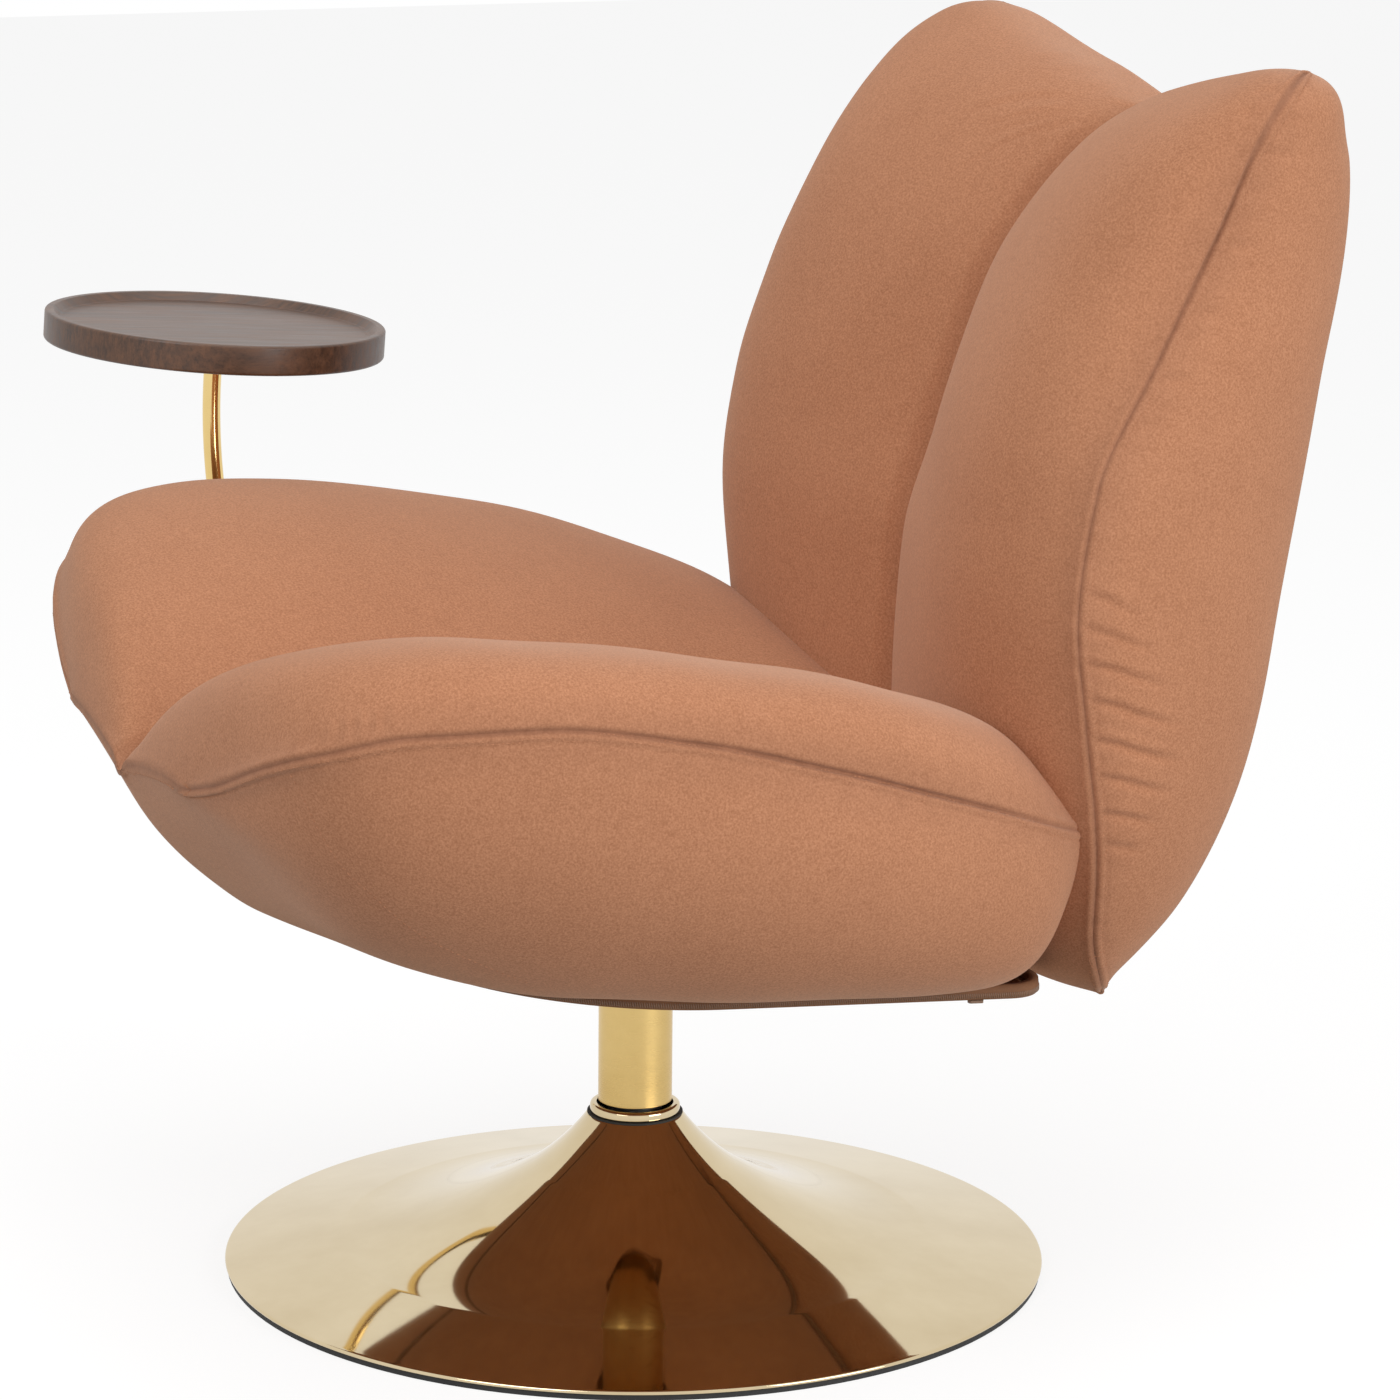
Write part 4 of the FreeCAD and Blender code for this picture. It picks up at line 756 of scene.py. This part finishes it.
def tube(name, spots, radius, steps=48):
    """A round tube along a line that stays in one plane."""
    points = []
    for index, spot in enumerate(spots):
        way = (spots[min(index + 1, len(spots) - 1)] - spots[max(index - 1, 0)]).normalized()
        level = (SIDEWAYS - way * SIDEWAYS.dot(way)).normalized()
        rise = way.cross(level)
        for step in range(steps):
            turn = 2 * math.pi * step / steps
            points.append(spot + (level * math.cos(turn) + rise * math.sin(turn)) * radius)
    return add_mesh(name, points, flipped(quads(len(spots), steps)))


arm_spots = arm_line()
arm = tube("tray_bent_tube", arm_spots, TUBE_RADIUS)

# Wooden tray: a turned disc with a raised rim, laid on its foot
TRAY_RADIUS, TRAY_THICK, TRAY_FLOOR, TRAY_RIM = 0.1325, 0.023, 0.017, 0.006
UNDER_ROUND, OUTER_ROUND, INNER_ROUND, COVE = 0.0025, 0.0022, 0.0015, 0.003
TRAY_FOOT_THICK = 0.004
tray_outline = [(0, 0)] + corner((TRAY_RADIUS - UNDER_ROUND, UNDER_ROUND), UNDER_ROUND, -90, 0)
tray_outline += corner((TRAY_RADIUS - OUTER_ROUND, TRAY_THICK - OUTER_ROUND), OUTER_ROUND, 0, 90)
tray_outline += corner((TRAY_RADIUS - TRAY_RIM, TRAY_THICK - INNER_ROUND), INNER_ROUND,
                       90, 135, 5)
tray_outline += corner((TRAY_RADIUS - 2 * TRAY_RIM - INNER_ROUND, TRAY_FLOOR + COVE), COVE,
                       -45, -90, 5)
tray_outline += [(radius, TRAY_FLOOR) for radius in np.linspace(0.11, 0, 8)]
tray = turned("tray_top", tray_outline, steps=256)
tray_turn = Vector((0, 0, 1)).rotation_difference(TIP_UP).to_matrix()
tray_place = Matrix.Translation(arm_spots[-1] + TIP_UP * TRAY_FOOT_THICK)
tray.data.transform(tray_place @ tray_turn.to_4x4())

# Seat underside: a bellied panel closed by a coil zip all round
PAN_FRONT_CORNER, PAN_REAR_CORNER, PAN_HOLE = 0.176, 0.025, 0.14
PAN_GAP, PAN_DEEP, PAN_RIPPLE = 0.0015, 0.0115, 0.0006
ZIP_OUTLINE = ((0.0002, -0.0075), (0.0002, 0.0022), (0.0030, 0.0026), (0.0058, 0.0024),
               (0.0068, 0.0014), (0.0072, -0.0010), (0.0070, -0.0040), (0.0066, -0.0075))


def pan_line(grow, count=600):
    """The panel's plan, drawn out by grow, as one closed line of evenly set spots."""
    wide, front, rear = PAN_WIDE + grow, PAN_FRONT + grow, PAN_REAR + grow
    bend, tight = PAN_FRONT_CORNER + grow, PAN_REAR_CORNER + grow
    spots = corner((wide - bend, bend - front), bend, -90, 0, 60)
    spots += corner((wide - tight, rear - tight), tight, 0, 90, 20)
    spots += corner((tight - wide, rear - tight), tight, 90, 180, 20)
    spots += corner((bend - wide, bend - front), bend, 180, 270, 60)
    line = spots + spots[:1]
    return spots_at(line, np.linspace(0, way_along(line)[-1], count + 1)[:-1])


def hang(plan, down):
    """Spots under the tilted underside, each at its own depth."""
    levels = SEAT_FOOT_LEVEL - plan[:, 1] * math.tan(SEAT_TILT) - down
    return np.column_stack([plan, levels])


pan_edge = pan_line(0)
panel_rows = []
for share in np.linspace(1, PAN_HOLE, 46):
    swell = (1 - share ** 6) ** 0.5 if share < 1 else 0
    ripple = PAN_RIPPLE * lumps(hang(pan_edge * share, 0), 0.09, SEED + 2) * (1 - share ** 8)
    panel_rows.append(hang(pan_edge * share, PAN_GAP + PAN_DEEP * swell + ripple))
panel = ring_rows("seat_under_panel", panel_rows)

zip_tape = ring_rows("seat_zip_tape", [hang(pan_line(out), down) for out, down in ZIP_OUTLINE],
                     loop=True)
zip_line = hang(pan_line(0.0070), -0.0008)
teeth = coil("seat_zip_teeth", np.vstack([zip_line, zip_line[:1]]),
             pitch=0.0016, reach=0.0040, thick=0.00060)


# Materials
class Finish:
    """A procedural material, with its constants on the shader's own sockets."""

    def __init__(self, name, **constants):
        self.material = bpy.data.materials.new(name)
        self.material.use_nodes = True
        self.nodes, self.links = self.material.node_tree.nodes, self.material.node_tree.links
        self.shader = self.nodes["Principled BSDF"]
        self.keep(self.shader, constants)
        self.place = self.nodes.new("ShaderNodeTexCoord").outputs["Object"]

    def keep(self, node, constants):
        for socket, amount in constants.items():
            node.inputs[socket.replace("_", " ")].default_value = amount

    def add(self, kind, source, socket, **constants):
        """A node with its constants, fed by a source."""
        node = self.nodes.new(kind)
        self.keep(node, constants)
        self.links.new(source, node.inputs[socket])
        return node

    def stretched(self, scale, turn=(0, 0, 0)):
        return self.add("ShaderNodeMapping", self.place, "Vector", Scale=scale,
                        Rotation=turn).outputs["Vector"]

    def noise(self, scale, detail, rough, place=None, distortion=0.0):
        return self.add("ShaderNodeTexNoise", place or self.place, "Vector", Scale=scale,
                        Detail=detail, Roughness=rough, Distortion=distortion).outputs["Fac"]

    def cells(self, scale):
        return self.add("ShaderNodeTexVoronoi", self.place, "Vector",
                        Scale=scale).outputs["Distance"]

    def threads(self, scale, way, distortion):
        node = self.add("ShaderNodeTexWave", self.place, "Vector", Scale=scale,
                        Distortion=distortion, Detail=2.0)
        node.bands_direction = way
        return node.outputs["Fac"]

    def ramp(self, amount, *stops):
        """A colour between two, each with its place on the way."""
        node = self.add("ShaderNodeValToRGB", amount, "Fac")
        for stop, (place, colour) in zip(node.color_ramp.elements, stops):
            stop.position = place
            stop.color = (*colour, 1)
        return node.outputs["Color"]

    def blend(self, share, first, second):
        node = self.nodes.new("ShaderNodeMix")
        node.data_type = "RGBA"
        for source, socket in ((share, 0), (first, 6), (second, 7)):
            if isinstance(source, float):
                node.inputs[socket].default_value = source
            else:
                self.links.new(source, node.inputs[socket])
        return node.outputs[2]

    def ranged(self, amount, low, high):
        """A noise's middle values, drawn out from low to high."""
        return self.add("ShaderNodeMapRange", amount, "Value", From_Min=0.3, From_Max=0.7,
                        To_Min=low, To_Max=high).outputs["Result"]

    def mark(self, name):
        """A measure kept with the points of the piece."""
        node = self.nodes.new("ShaderNodeAttribute")
        node.attribute_name = name
        return node.outputs["Fac"]

    def dress(self, colour, grain, low, high, *layers):
        """The material in its colour, as rough as its grain says, under layers of relief.

        A layer is a height, its strength and its distance.
        """
        self.links.new(colour, self.shader.inputs["Base Color"])
        self.links.new(self.ranged(grain, low, high), self.shader.inputs["Roughness"])
        last = None
        for height, strength, distance in layers:
            node = self.add("ShaderNodeBump", height, "Height", Strength=strength,
                            Distance=distance)
            if last:
                self.links.new(last, node.inputs["Normal"])
            last = node.outputs["Normal"]
        self.links.new(last, self.shader.inputs["Normal"])
        return self.material


def velvet():
    """Short dense pile: uneven lie, fine fibres, a pale bloom, and painted shade that darkens the
    seams and the channel.
    """
    finish = Finish("velvet", Sheen_Weight=0.28, Sheen_Roughness=0.45,
                    Sheen_Tint=(1.0, 0.80, 0.66, 1), Specular_IOR_Level=0.15)
    lie = finish.noise(9, 3, 0.55, distortion=0.4)
    mottle = finish.noise(95, 5, 0.65)
    pile = finish.noise(620, 4, 0.75)
    body = finish.ramp(lie, (0.30, (0.43, 0.180, 0.088)), (0.70, (0.52, 0.232, 0.120)))
    patches = finish.ramp(mottle, (0.30, (0.40, 0.168, 0.084)), (0.70, (0.56, 0.258, 0.138)))
    fibres = finish.ramp(pile, (0.36, (0.30, 0.118, 0.056)), (0.64, (0.64, 0.312, 0.178)))
    shade = finish.blend(0.5, finish.blend(0.4, body, patches), fibres)
    # Painted shade: a darker, duller cloth colour blended in at the seam grooves and along the
    # channel, as shade in those hollows
    painted_seam_shade = finish.ramp(mottle, (0.35, (0.235, 0.105, 0.062)), (0.65, (0.32, 0.150, 0.090)))
    return finish.dress(finish.blend(finish.mark("seam_near"), shade, painted_seam_shade), mottle, 0.82, 0.96,
                        (lie, 0.12, 0.004), (mottle, 0.10, 0.0010), (pile, 0.45, 0.0006))


def cover_cloth():
    """Plain close weave of the underside panel, in the same rust colour."""
    finish = Finish("cover_cloth", Sheen_Weight=0.15, Sheen_Tint=(1.0, 0.80, 0.66, 1),
                    Specular_IOR_Level=0.2)
    weave = finish.blend(0.5, finish.threads(260, "X", 0.6), finish.threads(260, "Y", 0.6))
    mottle = finish.noise(80, 4, 0.6)
    cloud = finish.ramp(mottle, (0.3, (0.36, 0.15, 0.075)), (0.7, (0.47, 0.21, 0.11)))
    yarn = finish.ramp(weave, (0.2, (0.30, 0.12, 0.06)), (0.8, (0.52, 0.24, 0.13)))
    return finish.dress(finish.blend(0.4, cloud, yarn), mottle, 0.80, 0.95,
                        (weave, 0.35, 0.0004), (mottle, 0.15, 0.001))


def metal(name, dull, bright, low, high, grain, waves):
    """Metal with faint tarnish, uneven polish and the lines of its finishing."""
    finish = Finish(name, Metallic=1.0)
    tarnish = finish.noise(11, 4, 0.6)
    lines = finish.noise(6, 3, 0.6, place=finish.stretched(grain))
    return finish.dress(finish.ramp(tarnish, (0.30, dull), (0.72, bright)),
                        finish.blend(0.5, tarnish, lines), low, high,
                        (lines, waves, 0.0002), (finish.noise(5, 2, 0.5), waves * 0.5, 0.0006))


def walnut():
    """Dark straight-grained wood with pores, under a thin satin lacquer."""
    finish = Finish("walnut", Coat_Weight=0.10, Coat_Roughness=0.22)
    turn = (0, 0, math.radians(-24))
    figure = finish.noise(2.2, 4, 0.55, place=finish.stretched((42, 3.2, 10), turn),
                          distortion=0.5)
    streak = finish.noise(5, 5, 0.6, place=finish.stretched((85, 3.5, 24), turn))
    pores = finish.noise(9, 3, 0.6, place=finish.stretched((190, 7, 60), turn))
    deep = finish.ramp(figure, (0.34, (0.030, 0.0150, 0.0090)), (0.66, (0.150, 0.066, 0.030)))
    lines = finish.ramp(streak, (0.36, (0.022, 0.0115, 0.0075)), (0.64, (0.190, 0.085, 0.040)))
    dots = finish.ramp(pores, (0.38, (0.012, 0.0065, 0.0045)), (0.50, (0.082, 0.041, 0.023)))
    return finish.dress(finish.blend(0.28, finish.blend(0.5, deep, lines), dots),
                        streak, 0.34, 0.50, (streak, 0.10, 0.0003), (pores, 0.20, 0.0002))


def moulded(name, dark, light, low, high, scale=420, metallic=0.0):
    """Rubber, plastic, tape or cast metal: a fine grain with slight colour change."""
    finish = Finish(name, Metallic=metallic)
    grain = finish.noise(scale, 3, 0.6)
    cloud = finish.noise(24, 3, 0.5)
    shades = [finish.ramp(source, (0.3, dark), (0.7, light)) for source in (cloud, grain)]
    return finish.dress(finish.blend(0.5, *shades), grain, low, high,
                        (grain, 0.25, 0.0002), (finish.cells(scale / 2), 0.08, 0.0002))


def plywood():
    """Pale veneers: long grain on the faces and thin dark glue lines at the edges."""
    finish = Finish("plywood")
    grain = finish.noise(4, 4, 0.6, place=finish.stretched((60, 4, 4)))
    layers = finish.threads(55, "Z", 0.4)
    face = finish.ramp(grain, (0.3, (0.42, 0.27, 0.14)), (0.7, (0.60, 0.42, 0.24)))
    edge = finish.ramp(layers, (0.2, (0.30, 0.18, 0.09)), (0.6, (0.58, 0.41, 0.23)))
    return finish.dress(finish.blend(0.3, face, edge), grain, 0.55, 0.75,
                        (grain, 0.2, 0.0003), (layers, 0.1, 0.0003))


METALS = {
    "mirror_brass": ((0.61, 0.49, 0.30), (0.69, 0.57, 0.37), 0.03, 0.06, (1, 1, 30), 0.006),
    "satin_brass": ((0.60, 0.42, 0.16), (0.71, 0.52, 0.22), 0.24, 0.36, (8, 8, 260), 0.10),
    "tube_brass": ((0.78, 0.56, 0.22), (0.87, 0.65, 0.28), 0.06, 0.12, (30, 30, 30), 0.03),
    "steel": ((0.42, 0.42, 0.43), (0.58, 0.58, 0.58), 0.25, 0.40, (40, 40, 40), 0.1),
    "bearing_steel": ((0.55, 0.55, 0.56), (0.68, 0.68, 0.68), 0.10, 0.20, (30, 30, 30), 0.05),
}
GRAINED = {
    "cast_iron": ((0.035, 0.034, 0.033), (0.075, 0.072, 0.070), 0.5, 0.75, 260, 0.8),
    "black_steel": ((0.012, 0.012, 0.012), (0.030, 0.029, 0.028), 0.40, 0.55, 700, 0.2),
    "black_rubber": ((0.008, 0.008, 0.008), (0.020, 0.019, 0.018), 0.60, 0.80),
    "bush_plastic": ((0.55, 0.54, 0.50), (0.68, 0.67, 0.63), 0.40, 0.55),
    "zip_tape": ((0.15, 0.062, 0.026), (0.26, 0.115, 0.050), 0.75, 0.90, 900),
    "zip_metal": ((0.16, 0.085, 0.045), (0.25, 0.14, 0.080), 0.35, 0.55, 600),
}
FINISHES = {"velvet": velvet(), "cover_cloth": cover_cloth(), "walnut": walnut(),
            "plywood": plywood()}
FINISHES.update({name: metal(name, *sizes) for name, sizes in METALS.items()})
FINISHES.update({name: moulded(name, *sizes) for name, sizes in GRAINED.items()})


# How near each point of the cushions lies to a seam or the channel, for the painted shade that
# darkens the cloth's colour in the seam grooves and the channel
for piece, seam, channel in ((seat, seat_seam_near, seat_channel_near),
                             (back, back_seam_near, back_channel_near)):
    amount = (0.50 * bump(seam, 0, 0.0018) + 0.22 * bump(seam, 0.002, 0.014)
              + 0.35 * bump(channel, 0, 0.009))
    layer = piece.data.attributes.new("seam_near", "FLOAT", "POINT")
    layer.data.foreach_set("value", np.clip(amount, 0, 1).astype(np.float32))

# Each piece's body, its finish and the frame's nodes that it stands for
for piece, body, slot, nodes in (
        (seat, "seat", "velvet", ("seat_cushion_left", "seat_cushion_right")),
        (back, "seat", "velvet", ("back_cushion_left", "back_cushion_right")),
        (seat_thread, "seat", "velvet", ()),
        (back_thread, "seat", "velvet", ()),
        (under_thread, "seat", "velvet", ()),
        (flare, "base", "mirror_brass", ("base_trumpet",)),
        (collar, "base", "mirror_brass", ("base_collar",)),
        (column, "seat", "satin_brass", ("column_sleeve",)),
        (arm, "tray_arm", "tube_brass", ("tray_tube",)),
        (tray, "tray_arm", "walnut", ("tray_disc",)),
        (panel, "seat", "cover_cloth", ("seat_bottom_cover",)),
        (zip_tape, "seat", "zip_tape", ("seat_zip",)),
        (teeth, "seat", "zip_metal", ())):
    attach(piece, body)
    if nodes:
        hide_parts(*nodes)
    piece.data.materials.append(FINISHES[slot])
for entry in frame["record"]["subparts"]:
    node = frame["nodes"][entry["node"]]
    for place in node.material_slots:
        place.material = FINISHES[entry["material_slot"]]


# Floor, white surroundings and lamps
def only_seen(tree, low, high):
    """A strength that is high for what is seen or mirrored and low as light."""
    path = tree.nodes.new("ShaderNodeLightPath")
    share = path.outputs["Is Camera Ray"]
    for ray in ("Is Glossy Ray", "Is Transmission Ray"):
        node = tree.nodes.new("ShaderNodeMath")
        node.operation = "MAXIMUM"
        tree.links.new(share, node.inputs[0])
        tree.links.new(path.outputs[ray], node.inputs[1])
        share = node.outputs[0]
    strength = tree.nodes.new("ShaderNodeMapRange")
    strength.inputs["To Min"].default_value = low
    strength.inputs["To Max"].default_value = high
    tree.links.new(share, strength.inputs["Value"])
    return strength.outputs["Result"]


FLOOR_HALF = 9.0
floor = add_mesh("floor", [(across * FLOOR_HALF, along * FLOOR_HALF, 0)
                           for across, along in ((-1, -1), (1, -1), (1, 1), (-1, 1))],
                 [(0, 1, 2, 3)], smooth=False)
paint = bpy.data.materials.new("floor")
paint.use_nodes = True
tree = paint.node_tree
tree.nodes.clear()
matt = tree.nodes.new("ShaderNodeBsdfDiffuse")
matt.inputs["Color"].default_value = (0.26, 0.26, 0.26, 1)
glow = tree.nodes.new("ShaderNodeEmission")
glow.inputs["Color"].default_value = (1, 1, 1, 1)
both = tree.nodes.new("ShaderNodeAddShader")
output = tree.nodes.new("ShaderNodeOutputMaterial")
tree.links.new(only_seen(tree, 0.12, 0.80), glow.inputs["Strength"])
tree.links.new(matt.outputs[0], both.inputs[0])
tree.links.new(glow.outputs[0], both.inputs[1])
tree.links.new(both.outputs[0], output.inputs["Surface"])
floor.data.materials.append(paint)

world = bpy.data.worlds.new("studio")
world.use_nodes = True
sky = world.node_tree.nodes["Background"]
sky.inputs["Color"].default_value = (1, 1, 1, 1)
world.node_tree.links.new(only_seen(world.node_tree, 0.48, 1.0), sky.inputs["Strength"])
bpy.context.scene.world = world


def lamp(name, place, aim, width, power):
    """A square lamp that faces its aim."""
    light = bpy.data.lights.new(name, "AREA")
    light.size = width
    light.energy = power
    item = bpy.data.objects.new(name, light)
    item.location = place
    item.rotation_euler = (Vector(aim) - Vector(place)).to_track_quat("-Z", "Y").to_euler()
    bpy.context.scene.collection.objects.link(item)


lamp("key", (1.7, -2.4, 2.4), (0, 0, 0.4), 1.8, 44)
lamp("top", (-0.3, 0.2, 3.4), (0, 0, 0.4), 2.4, 30)
lamp("side", (2.7, 1.7, 0.8), (0, 0.1, 0.45), 1.8, 54)

bpy.context.scene.view_settings.view_transform = "Standard"
